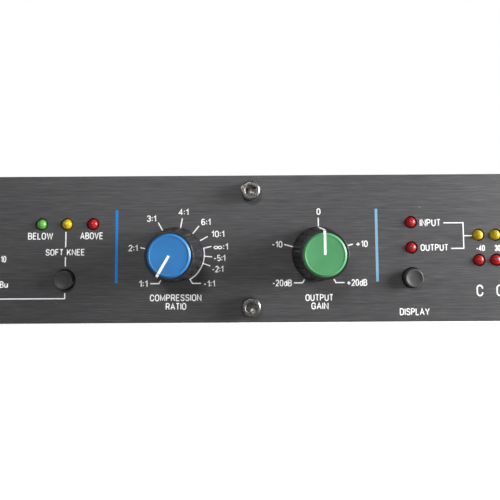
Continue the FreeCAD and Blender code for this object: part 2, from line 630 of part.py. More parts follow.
def make_buttons():
    front = "%s - button_proud" % PANEL_FRONT
    dish = "%s + button_dish" % front
    cap = turned("button_cap", [
        ("0", dish), ("button_radius - button_rim - button_dish", dish),
        ("button_radius - button_rim", front), ("button_radius - button_edge", front),
        ("button_radius", "%s + button_edge" % front), ("button_radius", "button_rear"),
        ("0", "button_rear")])
    stem = block("button_stem", ("-stem_width / 2", "stem_width / 2"), ("button_rear", "stem_end"),
                 ("-stem_width / 2", "stem_width / 2"))
    button = fuse("button", cap, stem)
    housing = cut("switch_housing",
                  block("housing_box", ("-housing_width / 2", "housing_width / 2"),
                        ("housing_front", "front_board_y"), ("-housing_width / 2", "housing_width / 2")),
                  block("housing_well", ("-housing_bore / 2", "housing_bore / 2"),
                        ("housing_front", "housing_bore_end"), ("-housing_bore / 2", "housing_bore / 2")))
    spring = make_spring()
    places = {name: (x, "0", "button_row_z") for name, x in BUTTONS.items()}
    for name, where in places.items():
        node("%s_button" % name, group("%s_button_set" % name, copies(button, [where])))
        node("%s_spring" % name, group("%s_spring_set" % name, copies(spring, [where])))
    node("switch_housings", group("switch_housing_set", copies(housing, list(places.values()))))


def make_spring():
    """The space of the return spring round the stem, between the cap and the switch housing."""
    start = ("0", "button_rear + spring_gap", "0")
    length = "housing_front - button_rear - 2 * spring_gap"
    return cut("return_spring", rod("spring_outside", "spring_radius + spring_wire", start, length),
               rod("spring_inside", "spring_radius - spring_wire", start, length))


# ---- indicator lamps ----

def make_lamps():
    """Round lamp with its rear face at the origin and its dome towards -Y."""
    straight = "lamp_length - lamp_radius"
    barrel = rod("lamp_barrel", "lamp_radius", ("0", "-(%s)" % straight, "0"), straight)
    dome = document.addObject("Part::Sphere", "lamp_dome")
    bind(dome, "Radius", "lamp_radius")
    place(dome, "0", "-(%s)" % straight, "0")
    flange = rod("lamp_flange_disc", "lamp_flange", ("0", "-lamp_flange_thick", "0"), "lamp_flange_thick")
    rear = "lamp_length - lamp_proud - panel_thick"
    leads = [block("lamp_lead_%d" % i,
                   ("%s - lamp_lead / 2" % centre, "%s + lamp_lead / 2" % centre),
                   ("0", "front_board_y - (%s)" % rear), ("-lamp_lead / 2", "lamp_lead / 2"))
             for i, centre in enumerate(("-lamp_lead_pitch / 2", "lamp_lead_pitch / 2"))]
    lamp = fuse("lamp", barrel, dome, flange, *leads)
    for name, spots in LAMPS.items():
        node(name, group(name + "_set", copies(lamp, [(x, rear, z) for x, z in spots])))


# ---- boards and what stands on them ----

MAIN_LOW = "%s + standoff_height" % FLOOR_TOP
MAIN_TOP = "%s + board_thick" % MAIN_LOW
BOARD_CORNERS = [(x, y) for x in ("main_board_left + board_screw_inset",
                                  "(main_board_left + main_board_right) / 2",
                                  "main_board_right - board_screw_inset")
                 for y in ("main_board_front + board_screw_inset", "main_board_rear - board_screw_inset")]


def make_boards():
    body = new_body("main_board_body")
    pad(body, "XY_Plane", MAIN_LOW, MAIN_TOP, lambda sketch: rectangle(
        sketch, "main_board_left", "main_board_right", "main_board_front", "main_board_rear"))

    def corner_holes(sketch):
        for x, y in BOARD_CORNERS:
            circle(sketch, x, y, "board_hole_radius")

    pocket(body, "XY_Plane", MAIN_LOW, MAIN_TOP, corner_holes)
    node("main_board", body)
    front = new_body("front_board_body")
    pad(front, "XZ_Plane", "front_board_y", "front_board_y + board_thick", lambda sketch: rectangle(
        sketch, "front_board_left", "front_board_right", "front_board_low", "front_board_high"))
    node("front_board", front)


def make_standoffs(screw):
    foot = ("0", "0", "0")
    post = cut("standoff", hexagon("standoff_post", "standoff_hex", foot, "standoff_height", "z"),
               rod("standoff_hole", "standoff_bore", foot, "standoff_height", "z"))
    feet = [(x, y, FLOOR_TOP) for x, y in BOARD_CORNERS]
    node("board_standoffs", group("standoff_set", copies(post, feet)))
    downward = Rotation(Vector(1, 0, 0), -90)
    tops = [(x, y, MAIN_TOP) for x, y in BOARD_CORNERS]
    node("board_screws", group("board_screw_set", copies(screw, tops, [downward] * len(tops))))


def on_board(name, x, y, wide, deep, tall, lift="0"):
    """A block that stands on the main board, centred at x and y."""
    low = "%s + %s" % (MAIN_TOP, lift)
    return block(name, ("%s - %s / 2" % (x, wide), "%s + %s / 2" % (x, wide)),
                 ("%s - %s / 2" % (y, deep), "%s + %s / 2" % (y, deep)), (low, "%s + %s" % (low, tall)))


def make_components():
    cans = []
    for i in range(4):
        column, row = divmod(i, 2)
        x = "main_board_right - capacitor_inset - %d * capacitor_pitch" % column
        y = "main_board_front + capacitor_first_y + %d * capacitor_pitch" % row
        can = rod("capacitor_can_%d" % i, "capacitor_radius", (x, y, MAIN_TOP), "capacitor_height", "z")
        top = "%s + capacitor_height - capacitor_groove" % MAIN_TOP
        groove = rod("capacitor_top_%d" % i, "capacitor_top_radius", (x, y, top), "capacitor_groove", "z")
        cans.append(cut("capacitor_%d" % i, can, groove))
    node("filter_capacitors", group("capacitor_set", cans))

    sink_parts = [on_board("sink_back", "sink_x", "sink_y", "sink_thick", "sink_length", "sink_height")]
    for i in range(6):
        y = "(fin_first_y + %d * fin_pitch)" % i
        sink_parts.append(on_board("sink_fin_%d" % i, "fin_x", y, "fin_depth", "fin_thick", "sink_height"))
    node("heat_sink", fuse("heat_sink_all", *sink_parts))
    regulators = []
    for i in range(2):
        y = "(regulator_first_y + %d * regulator_pitch)" % i
        body = on_board("regulator_body_%d" % i, "regulator_x", y, "regulator_thick", "regulator_width",
                        "regulator_width", "regulator_lift")
        leg = on_board("regulator_legs_%d" % i, "regulator_x", y, "regulator_leg_thick",
                       "regulator_leg_width", "regulator_lift")
        regulators.append(fuse("regulator_%d" % i, body, leg))
    node("regulators", group("regulator_set", regulators))
    make_amplifier_groups()


def make_amplifier_groups():
    """Rows of amplifier chips, each with its film capacitor and resistors."""
    chips = []
    films = []
    resistors = []
    for row in range(3):
        for column in range(5):
            label = "%d_%d" % (row, column)
            left = "main_board_left + %d * group_pitch_x" % column
            front = "main_board_front + %d * group_pitch_y" % row
            chips.append(on_board("chip_" + label, "(%s + chip_first_x)" % left,
                                  "(%s + chip_first_y)" % front, "chip_width", "chip_length", "chip_height",
                                  "chip_lift"))
            films.append(on_board("film_" + label, "(%s + film_first_x)" % left,
                                  "(%s + film_first_y)" % front, "film_width", "film_length", "film_height"))
            for i in range(3):
                start = ("%s + resistor_first_x + %d * resistor_pitch" % (left, i),
                         "%s + resistor_first_y" % front, "%s + resistor_lift" % MAIN_TOP)
                resistors.append(rod("resistor_%s_%d" % (label, i), "resistor_radius", start,
                                     "resistor_length"))
    node("integrated_circuits", group("chip_set", chips))
    node("film_capacitors", group("film_set", films))
    node("resistors", group("resistor_set", resistors))


def make_ribbon():
    """Flat cable from the rear of the front board down to the main board's connector."""
    body = new_body("ribbon_body")
    back = "front_board_y + board_thick"
    near = "main_board_front + ribbon_reach"
    under = "ribbon_top - ribbon_thick"
    outline = [(back, "ribbon_top"), (near, "ribbon_top"), (near, MAIN_TOP),
               ("%s - ribbon_thick" % near, MAIN_TOP),
               ("%s - ribbon_thick" % near, under), (back, under)]
    pad(body, "YZ_Plane", "ribbon_left", "ribbon_right", lambda sketch: polygon(sketch, outline))
    node("ribbon_cable", body)


# ---- mains transformer ----

def make_transformer():
    x, y, z = "transformer_x", "transformer_y", "transformer_z"

    def centred(name, wide, deep, tall, dx="0", dz="0"):
        return block(name, ("%s + %s - (%s) / 2" % (x, dx, wide), "%s + %s + (%s) / 2" % (x, dx, wide)),
                     ("%s - (%s) / 2" % (y, deep), "%s + (%s) / 2" % (y, deep)),
                     ("%s + %s - (%s) / 2" % (z, dz, tall), "%s + %s + (%s) / 2" % (z, dz, tall)))

    shift = "(core_leg + core_window) / 2"
    windows = [centred("core_window_%d" % i, "core_window", "core_window_depth",
                       "core_height + 2 * core_tool_over", dx)
               for i, dx in enumerate(("-" + shift, shift))]
    core = cut("core", centred("core_block", "core_width", "core_depth", "core_height"), *windows)
    foot_low = "case_height / 2 - sheet_thick"
    feet = [block("core_foot_%d" % i,
                  ("%s + %d * (core_width - foot_width) / 2 - foot_width / 2" % (x, side),
                   "%s + %d * (core_width - foot_width) / 2 + foot_width / 2" % (x, side)),
                  ("%s - core_depth / 2" % y, "%s + core_depth / 2" % y),
                  ("-(%s)" % foot_low, "%s - core_height / 2" % z))
            for i, side in enumerate((-1, 1))]
    node("transformer_core", group("transformer_core_set", [core] + feet))
    outer = centred("winding_block", "core_leg + 2 * core_window - 2 * winding_gap",
                    "core_window_depth - 2 * winding_gap", "winding_height")
    inner = centred("winding_hole", "core_leg + 2 * winding_gap", "core_window_depth",
                    "core_height + 2 * winding_gap")
    node("transformer_winding", cut("winding", outer, inner))


# ---- rear connectors ----

REAR = "case_depth"
FLANGE_FACE = "case_depth + connector_flange_thick"


def connector_shell(name, x):
    """Flange on the rear panel with a round body through it."""
    flange = block(name + "_flange",
                   ("%s - connector_flange_width / 2" % x, "%s + connector_flange_width / 2" % x),
                   (REAR, FLANGE_FACE), ("-connector_flange_height / 2", "connector_flange_height / 2"))
    holes = [rod("%s_screw_hole_%d" % (name, side), "pan_hole_radius",
                 ("%s + %d * connector_screw_x" % (x, side), REAR, "%d * connector_screw_z" % side),
                 "connector_flange_thick") for side in (-1, 1)]
    barrel = rod(name + "_barrel", "connector_radius", (x, "case_depth - connector_depth", "0"),
                 "connector_depth + connector_flange_thick")
    return fuse(name + "_blank", flange, barrel), holes


def around(x, radius, first_angle):
    """Three places on a circle, seen from the rear."""
    places = []
    for i in range(3):
        angle = first_angle + i * 90
        places.append(("%s + %s * cos(%d)" % (x, radius, angle), "%s * sin(%d)" % (radius, angle)))
    return places


def make_output_plug():
    x = "output_x"
    shell, holes = connector_shell("output_plug", x)
    floor_y = "%s - plug_cavity_depth" % FLANGE_FACE
    cavity = rod("output_cavity", "plug_cavity_radius", (x, floor_y, "0"), "plug_cavity_depth")
    node("output_plug_shell", cut("output_plug", shell, cavity, *holes))
    pins = [rod("output_pin_%d" % i, "pin_radius", (px, floor_y, pz), "plug_cavity_depth - pin_recess")
            for i, (px, pz) in enumerate(around(x, "pin_circle", 0))]
    node("output_plug_pins", group("output_pin_set", pins))


def make_input_socket():
    x = "input_x"
    shell, holes = connector_shell("input_socket", x)
    floor_y = "%s - socket_groove_depth" % FLANGE_FACE
    groove = cut("input_groove",
                 rod("input_groove_outer", "plug_cavity_radius", (x, floor_y, "0"), "socket_groove_depth"),
                 rod("input_groove_inner", "socket_insert_radius", (x, floor_y, "0"), "socket_groove_depth"))
    contacts = [rod("input_contact_%d" % i, "contact_hole", (px, "%s - contact_depth" % FLANGE_FACE, pz),
                    "contact_depth")
                for i, (px, pz) in enumerate(around(x, "pin_circle", 0))]
    well = block("latch_well",
                 ("%s - latch_width / 2 - latch_gap" % x, "%s + latch_width / 2 + latch_gap" % x),
                 ("%s - latch_cavity" % FLANGE_FACE, FLANGE_FACE),
                 ("latch_z - latch_height / 2 - latch_gap", "latch_z + latch_height / 2 + latch_gap"))
    node("input_socket_shell", cut("input_socket", shell, groove, well, *contacts, *holes))
    latch = block("latch_block", ("%s - latch_width / 2" % x, "%s + latch_width / 2" % x),
                  ("%s - latch_cavity + latch_travel" % FLANGE_FACE, "%s + latch_proud" % FLANGE_FACE),
                  ("latch_z - latch_height / 2", "latch_z + latch_height / 2"))
    node("input_latch", latch)


def make_jacks():
    tubes = []
    bodies = []
    nuts = []
    for i, x in enumerate(JACKS):
        start = "case_depth - jack_tube_rear"
        length = "jack_tube_rear + jack_proud"
        tubes.append(cut("jack_tube_%d" % i,
                         rod("jack_tube_out_%d" % i, "jack_tube", (x, start, "0"), length),
                         rod("jack_tube_in_%d" % i, "jack_bore", (x, start, "0"), length)))
        box = block("jack_box_%d" % i, ("%s - jack_body_width / 2" % x, "%s + jack_body_width / 2" % x),
                    ("case_depth - sheet_thick - jack_body_depth", "case_depth - jack_tube_rear"),
                    ("-jack_body_height / 2", "jack_body_height / 2"))
        bore = rod("jack_well_%d" % i, "jack_bore", (x, "case_depth - jack_body_depth", "0"),
                   "jack_body_depth")
        bodies.append(cut("jack_body_%d" % i, box, bore))
        nuts.append(cut("jack_nut_%d" % i, hexagon("jack_hex_%d" % i, "jack_nut_hex", (x, REAR, "0"),
                                                   "jack_nut_thick"),
                        rod("jack_nut_hole_%d" % i, "jack_nut_bore", (x, REAR, "0"), "jack_nut_thick")))
    node("jack_bushings", group("jack_bushing_set", tubes + nuts))
    node("jack_bodies", group("jack_body_set", bodies))


def make_lift_switch():
    x = "lift_x"
    frame = block("lift_plate", ("%s - lift_frame_width / 2" % x, "%s + lift_frame_width / 2" % x),
                  (REAR, "case_depth + lift_frame_thick"),
                  ("-lift_frame_height / 2", "lift_frame_height / 2"))
    opening = block("lift_opening", ("%s - lift_slot_width / 2" % x, "%s + lift_slot_width / 2" % x),
                    ("%s - lift_cavity" % REAR, "case_depth + lift_frame_thick"),
                    ("-lift_slot_height / 2", "lift_slot_height / 2"))
    body = block("lift_body", ("%s - lift_body_width / 2" % x, "%s + lift_body_width / 2" % x),
                 ("case_depth - sheet_thick - lift_body_depth", REAR_IN),
                 ("-lift_frame_height / 2", "lift_frame_height / 2"))
    node("lift_switch_frame", group("lift_frame_set", [cut("lift_frame", frame, opening),
                                                       cut("lift_case", body, opening)]))
    left = "%s - lift_slot_width / 2 + slider_end_gap" % x
    slider = block("lift_slider_block", (left, "%s + slider_width" % left),
                   ("case_depth - slider_depth", "case_depth + slider_proud"),
                   ("-slider_height / 2", "slider_height / 2"))
    node("lift_slider", slider)


def make_fuse():
    x = "fuse_x"
    flange = rod("fuse_flange_disc", "fuse_flange", (x, REAR, "0"), "fuse_flange_thick")
    barrel = rod("fuse_barrel", "fuse_radius", (x, "case_depth - fuse_depth", "0"), "fuse_depth")
    bore = rod("fuse_bore_hole", "fuse_bore", (x, "case_depth - fuse_depth + fuse_end_wall", "0"),
               "fuse_depth + fuse_flange_thick")
    node("fuse_holder", cut("fuse_holder_all", fuse("fuse_blank", flange, barrel), bore))
    face = "case_depth + fuse_flange_thick + fuse_cap_gap"
    cap = rod("fuse_cap_disc", "fuse_cap_radius", (x, face, "0"), "fuse_cap_length")
    stem = rod("fuse_cap_stem", "fuse_stem_radius", (x, "%s - fuse_stem_length" % face, "0"),
               "fuse_stem_length")
    groove = block("fuse_cap_slot", ("%s - fuse_cap_radius" % x, "%s + fuse_cap_radius" % x),
                   ("%s + fuse_cap_length - fuse_slot_depth" % face, "%s + fuse_cap_length" % face),
                   ("-fuse_slot / 2", "fuse_slot / 2"))
    node("fuse_cap", cut("fuse_cap_all", fuse("fuse_cap_blank", cap, stem), groove))


def make_inlet():
    x = "inlet_x"
    face = "case_depth + inlet_flange_thick"

    def centred(name, wide, tall, low, high):
        return block(name, ("%s - %s / 2" % (x, wide), "%s + %s / 2" % (x, wide)), (low, high),
                     ("-%s / 2" % tall, "%s / 2" % tall))

    flange = centred("inlet_flange", "inlet_flange_width", "inlet_flange_height", REAR, face)
    body = centred("inlet_body", "inlet_body_width", "inlet_body_height", "case_depth - inlet_depth", REAR)
    cavity = centred("inlet_cavity", "inlet_cavity_width", "inlet_cavity_height",
                     "%s - inlet_cavity_depth" % face, face)
    holes = [rod("inlet_screw_hole_%d" % i, "pan_hole_radius", (hx, REAR, hz), "inlet_flange_thick")
             for i, (hx, hz) in enumerate(INLET_SCREWS)]
    node("mains_inlet", cut("inlet", fuse("inlet_blank", flange, body), cavity, *holes))
    pins = []
    spots = (("-inlet_pin_x", "-inlet_pin_offset"), ("0", "inlet_pin_offset"),
             ("inlet_pin_x", "-inlet_pin_offset"))
    for i, (dx, z) in enumerate(spots):
        centre = "%s + %s" % (x, dx)
        pins.append(block("inlet_pin_%d" % i,
                          ("%s - inlet_pin_width / 2" % centre, "%s + inlet_pin_width / 2" % centre),
                          ("%s - inlet_cavity_depth" % face, "%s - inlet_pin_recess" % face),
                          ("%s - inlet_pin_height / 2" % z, "%s + inlet_pin_height / 2" % z)))
    node("inlet_pins", group("inlet_pin_set", pins))


# ---- build, check and export ----

def build():
    make_front_panel()
    make_case_base()
    make_cover()
    make_rear_panel()
    make_panel_screws()
    pan_screw = make_pan_screw()
    make_case_screws(pan_screw)
    make_knobs()
    make_pots()
    make_buttons()
    make_lamps()
    make_boards()
    make_standoffs(pan_screw)
    make_components()
    make_ribbon()
    make_transformer()
    make_output_plug()
    make_input_socket()
    make_jacks()
    make_lift_switch()
    make_fuse()
    make_inlet()
    document.recompute()


def check():
    for item in document.Objects:
        if {"Invalid", "Error"} & set(item.State):
            raise ValueError("%s failed: %s" % (item.Name, item.State))
    for label, item in nodes.items():
        if item.Shape.isNull() or not item.Shape.isValid() or not item.Shape.Solids:
            raise ValueError("%s has no valid solid" % label)


def export():
    os.makedirs("parts", exist_ok=True)
    for label, item in nodes.items():
        item.Shape.exportStep("parts/%s.step" % label)
        box = item.Shape.BoundBox
        print("%-22s solids %2d  x %.1f..%.1f  y %.1f..%.1f  z %.1f..%.1f" % (
            label, len(item.Shape.Solids), box.XMin, box.XMax, box.YMin, box.YMax, box.ZMin, box.ZMax))
    print(len(nodes), "nodes")


build()
check()
export()
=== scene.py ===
"""Looks of the rack compressor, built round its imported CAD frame. Metres, +Z up, the front faces -Y."""
import json
import math
import random

import bmesh
import bpy
from mathutils import Matrix, Vector
from mathutils.geometry import delaunay_2d_cdt


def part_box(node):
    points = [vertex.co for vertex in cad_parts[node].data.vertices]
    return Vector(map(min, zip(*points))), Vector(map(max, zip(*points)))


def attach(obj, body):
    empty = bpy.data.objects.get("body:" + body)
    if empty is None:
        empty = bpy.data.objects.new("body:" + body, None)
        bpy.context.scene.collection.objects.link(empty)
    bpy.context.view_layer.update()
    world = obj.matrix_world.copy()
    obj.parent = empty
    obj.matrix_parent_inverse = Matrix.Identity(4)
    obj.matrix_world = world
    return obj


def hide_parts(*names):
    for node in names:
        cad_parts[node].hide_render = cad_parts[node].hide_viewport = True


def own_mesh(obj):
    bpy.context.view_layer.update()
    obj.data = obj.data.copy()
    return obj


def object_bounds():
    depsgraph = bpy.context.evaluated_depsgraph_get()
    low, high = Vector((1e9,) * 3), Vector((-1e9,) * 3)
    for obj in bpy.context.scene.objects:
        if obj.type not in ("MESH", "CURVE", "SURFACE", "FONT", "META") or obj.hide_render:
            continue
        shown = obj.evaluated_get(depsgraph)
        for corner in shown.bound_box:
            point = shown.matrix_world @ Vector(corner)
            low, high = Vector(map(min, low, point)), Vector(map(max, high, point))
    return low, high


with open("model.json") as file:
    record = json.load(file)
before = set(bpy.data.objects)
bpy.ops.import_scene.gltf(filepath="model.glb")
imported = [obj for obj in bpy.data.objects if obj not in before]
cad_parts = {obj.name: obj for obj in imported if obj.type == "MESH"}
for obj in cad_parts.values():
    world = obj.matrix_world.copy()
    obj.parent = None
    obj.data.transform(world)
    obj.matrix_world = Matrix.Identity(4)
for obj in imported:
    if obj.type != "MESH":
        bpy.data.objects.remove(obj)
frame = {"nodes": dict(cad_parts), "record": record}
CAD_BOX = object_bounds()
MM = 0.001
random.seed(11)
SCENE = bpy.context.scene
LINK = SCENE.collection.objects.link

PANEL_LOW, PANEL_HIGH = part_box("front_panel")
FACE_Y = PANEL_LOW.y
PART_FRONT = CAD_BOX[0][1]
INK_THICK = 0.02 * MM
LARGEST_HOLE = 6 * MM
MERGE_DISTANCE = 1e-7


# ---- materials ----

class Nodes:
    """A short way to write a node material."""

    def __init__(self, name):
        self.material = bpy.data.materials.new(name)
        self.material.use_nodes = True
        self.tree = self.material.node_tree
        self.shader = self.tree.nodes["Principled BSDF"]
        self.place = self.add("ShaderNodeTexCoord").outputs["Object"]

    def add(self, kind, **settings):
        item = self.tree.nodes.new(kind)
        for key, setting in settings.items():
            setattr(item, key, setting)
        return item

    def join(self, start, end):
        self.tree.links.new(start, end)

    def set(self, **sockets):
        for key, amount in sockets.items():
            self.shader.inputs[key.replace("_", " ")].default_value = amount

    def scaled(self, scale, turn=(0, 0, 0)):
        mapping = self.add("ShaderNodeMapping")
        mapping.inputs["Scale"].default_value = scale
        mapping.inputs["Rotation"].default_value = turn
        self.join(self.place, mapping.inputs["Vector"])
        return mapping.outputs["Vector"]

    def noise(self, scale, detail=3.0, rough=0.55, vector=None):
        item = self.add("ShaderNodeTexNoise")
        item.inputs["Scale"].default_value = scale
        item.inputs["Detail"].default_value = detail
        item.inputs["Roughness"].default_value = rough
        self.join(vector or self.place, item.inputs["Vector"])
        return item.outputs["Fac"]

    def ramp(self, factor, stops):
        item = self.add("ShaderNodeValToRGB")
        while len(item.color_ramp.elements) < len(stops):
            item.color_ramp.elements.new(0.5)
        for element, (position, color) in zip(item.color_ramp.elements, stops):
            element.position = position
            element.color = (*color, 1) if isinstance(color, tuple) else (color, color, color, 1)
        self.join(factor, item.inputs["Fac"])
        return item.outputs["Color"]

    def span(self, factor, low, high, start=0.3, end=0.7):
        item = self.add("ShaderNodeMapRange")
        for key, amount in (("From Min", start), ("From Max", end), ("To Min", low), ("To Max", high)):
            item.inputs[key].default_value = amount
        self.join(factor, item.inputs["Value"])
        return item.outputs["Result"]

    def math(self, operation, first, second):
        item = self.add("ShaderNodeMath", operation=operation)
        for socket, amount in zip(item.inputs, (first, second)):
            if isinstance(amount, (int, float)):
                socket.default_value = amount
            else:
                self.join(amount, socket)
        return item.outputs["Value"]

    def mix(self, factor, first, second):
        item = self.add("ShaderNodeMix", data_type="RGBA")
        self.join(factor, item.inputs["Factor"])
        for key, color in (("A", first), ("B", second)):
            socket = [s for s in item.inputs if s.name == key and s.type == "RGBA"][0]
            if isinstance(color, tuple):
                socket.default_value = (*color, 1)
            else:
                self.join(color, socket)
        return [s for s in item.outputs if s.type == "RGBA"][0]

    def bump(self, height, strength, distance, normal=None):
        item = self.add("ShaderNodeBump")
        item.inputs["Strength"].default_value = strength
        item.inputs["Distance"].default_value = distance
        self.join(height, item.inputs["Height"])
        if normal:
            self.join(normal, item.inputs["Normal"])
        return item.outputs["Normal"]

    def soft_edge(self, radius):
        item = self.add("ShaderNodeBevel", samples=4)
        item.inputs["Radius"].default_value = radius
        return item.outputs["Normal"]

    def color(self, output):
        self.join(output, self.shader.inputs["Base Color"])

    def rough(self, output):
        self.join(output, self.shader.inputs["Roughness"])

    def normal(self, output):
        self.join(output, self.shader.inputs["Normal"])


def brushed_panel():
    """Black anodised aluminium, brushed along its length."""
    n = Nodes("brushed_black_anodise")
    fine = n.noise(1, 2, 0.5, n.scaled((120, 400, 8200)))
    medium = n.noise(1, 3, 0.6, n.scaled((170, 300, 4300)))
    long = n.noise(1, 2, 0.5, n.scaled((22, 100, 3000)))
    cloud = n.noise(12, 3, 0.5)
    streak = n.math("ADD", n.math("MULTIPLY", fine, 0.30), n.math("MULTIPLY", medium, 0.5))
    streak = n.math("ADD", streak, n.math("MULTIPLY", long, 0.20))
    tone = n.math("ADD", streak, n.span(cloud, -0.02, 0.02))
    n.color(n.ramp(tone, [(0.34, (0.080, 0.080, 0.084)), (0.5, (0.114, 0.114, 0.119)),
                          (0.68, (0.180, 0.178, 0.179))]))
    n.rough(n.span(medium, 0.44, 0.58))
    n.normal(n.bump(streak, 0.12, 0.00002))
    n.set(Metallic=0.5, Specular_IOR_Level=0.4)
    return n.material


def printed_ink(name, color, glow=0.0):
    """Screen-printed ink; a little painted glow (emission) stands for its high brightness beside the panel.
    """
    n = Nodes(name)
    speck = n.noise(5200, 2, 0.6)
    n.color(n.ramp(speck, [(0.25, tuple(c * 0.80 for c in color)), (0.5, color)]))
    n.rough(n.span(speck, 0.42, 0.62))
    n.normal(n.bump(speck, 0.12, 0.00001))
    # painted glow: emission brightens the ink beyond what the lights give it
    n.set(Emission_Color=(*color, 1), Emission_Strength=glow)
    return n.material


def moulded_plastic(name, color, rough=0.42, grain=2600, coat=0.0, bevel=0.0):
    """Moulded plastic with a fine spark-eroded grain and handling marks."""
    n = Nodes(name)
    texture = n.noise(grain, 3, 0.6)
    cloud = n.noise(140, 3, 0.5)
    scuff = n.noise(1, 3, 0.65, n.scaled((900, 2600, 900), (0.3, 0.2, 0.5)))
    base = n.mix(n.span(cloud, 0.0, 1.0), tuple(c * 0.90 for c in color),
                 tuple(min(1, c * 1.08) for c in color))
    worn = n.span(scuff, 0.0, 0.35, 0.60, 0.78)
    n.color(n.mix(worn, base, tuple(min(1, c * 1.35 + 0.012) for c in color)))
    n.rough(n.span(texture, rough - 0.06, rough + 0.10))
    n.normal(n.bump(texture, 0.10, 0.00003, n.soft_edge(bevel) if bevel else None))
    n.set(Coat_Weight=coat, Coat_Roughness=0.18)
    return n.material


def powder_coat(name, color, bevel=0.0006):
    """Fine-textured black paint over folded steel sheet."""
    n = Nodes(name)
    orange_peel = n.noise(1500, 2, 0.5)
    fleck = n.noise(5200, 2, 0.7)
    wide = n.noise(22, 4, 0.55)
    base = n.mix(n.span(wide, 0.0, 1.0), color, tuple(c * 1.5 for c in color))
    n.color(n.mix(n.span(fleck, 0.0, 0.3, 0.58, 0.72), base, tuple(c * 3.2 for c in color)))
    n.rough(n.span(fleck, 0.44, 0.64))
    n.normal(n.bump(orange_peel, 0.22, 0.00006, n.soft_edge(bevel)))
    return n.material


def plated_metal(name, color, dirt, rough=0.24, bevel=0.00012, patch=950):
    """Plated steel or brass with worn, stained plating."""
    n = Nodes(name)
    stain = n.noise(patch, 4, 0.65)
    scratch = n.noise(1, 3, 0.6, n.scaled((5200, 700, 900), (0.4, 0.9, 0.2)))
    blend = n.span(stain, 0.0, 1.0, 0.40, 0.66)
    n.color(n.mix(blend, color, dirt))
    n.rough(n.math("ADD", n.span(stain, rough, rough + 0.20), n.span(scratch, 0.0, 0.08)))
    n.normal(n.bump(scratch, 0.14, 0.00002, n.soft_edge(bevel)))
    n.set(Metallic=1.0)
    return n.material


def lamp_epoxy(name, color, rough=0.30):
    """Tinted, diffused lamp epoxy with painted shade darkening it towards its rim, and the frame inside as
    paler flecks.
    """
    n = Nodes(name)
    haze = n.noise(1500, 3, 0.6)
    # painted shade: the colour darkens towards the dome's rim, where its surface faces away from the view
    rim = n.add("ShaderNodeLayerWeight")
    rim.inputs["Blend"].default_value = 0.35
    body = n.ramp(haze, [(0.3, tuple(c * 0.72 for c in color)), (0.55, color),
                         (0.75, tuple(min(1, c * 1.25 + 0.02) for c in color))])
    edge = n.span(rim.outputs["Facing"], 0.0, 1.0, 0.45, 0.95)
    n.color(n.mix(edge, body, tuple(c * 0.22 for c in color)))
    n.rough(n.span(haze, rough - 0.06, rough + 0.10))
    n.normal(n.bump(haze, 0.25, 0.00008))
    n.set(Transmission_Weight=0.12, IOR=1.5, Coat_Weight=0.15, Coat_Roughness=0.2,
          Subsurface_Weight=0.2, Subsurface_Scale=0.0008)
    n.set(Emission_Color=(*color, 1), Emission_Strength=0.06)
    return n.material


def circuit_laminate():
    """Green solder mask over copper tracks."""
    n = Nodes("solder_mask")
    weave = n.add("ShaderNodeTexWave", wave_type="BANDS", bands_direction="DIAGONAL")
    weave.inputs["Scale"].default_value = 260
    weave.inputs["Distortion"].default_value = 3
    n.join(n.place, weave.inputs["Vector"])
    cells = n.add("ShaderNodeTexBrick")
    cells.inputs["Scale"].default_value = 110
    cells.inputs["Mortar Size"].default_value = 0.06
    n.join(n.place, cells.inputs["Vector"])
    tracks = n.span(cells.outputs["Fac"], 0.0, 0.8, 0.0, 1.0)
    n.color(n.mix(tracks, (0.012, 0.085, 0.035), (0.03, 0.19, 0.075)))
    n.rough(n.span(weave.outputs["Fac"], 0.24, 0.36))
    n.normal(n.bump(cells.outputs["Fac"], 0.2, 0.00004))
    n.set(Coat_Weight=0.4, Coat_Roughness=0.15)
    return n.material


def layered(name, light, dark, pitch):
    """Laminations, ribbon strands or tape turns: thin parallel bands."""
    n = Nodes(name)
    bands = n.add("ShaderNodeTexWave", wave_type="BANDS", bands_direction="Z", wave_profile="SAW")
    bands.inputs["Scale"].default_value = pitch
    bands.inputs["Distortion"].default_value = 0.4
    n.join(n.place, bands.inputs["Vector"])
    n.color(n.mix(n.span(bands.outputs["Fac"], 0, 1, 0.1, 0.9), dark, light))
    n.rough(n.span(n.noise(900), 0.35, 0.55))
    n.normal(n.bump(bands.outputs["Fac"], 0.35, 0.00012, n.soft_edge(0.0004)))
    return n.material


def floor_paper():
    """White paper that bounces little light back on to the object."""
    n = Nodes("pale_floor")
    grain = n.noise(90, 3, 0.5)
    seen = n.add("ShaderNodeLightPath").outputs["Is Camera Ray"]
    pale = n.ramp(grain, [(0.3, (0.91, 0.91, 0.91)), (0.7, (0.94, 0.94, 0.94))])
    n.color(n.mix(seen, (0.28, 0.28, 0.28), pale))
    n.join(n.math("MULTIPLY", seen, 0.65), n.shader.inputs["Emission Strength"])
    n.set(Roughness=0.9, Specular_IOR_Level=0.1, Emission_Color=(1, 1, 1, 1))
    return n.material


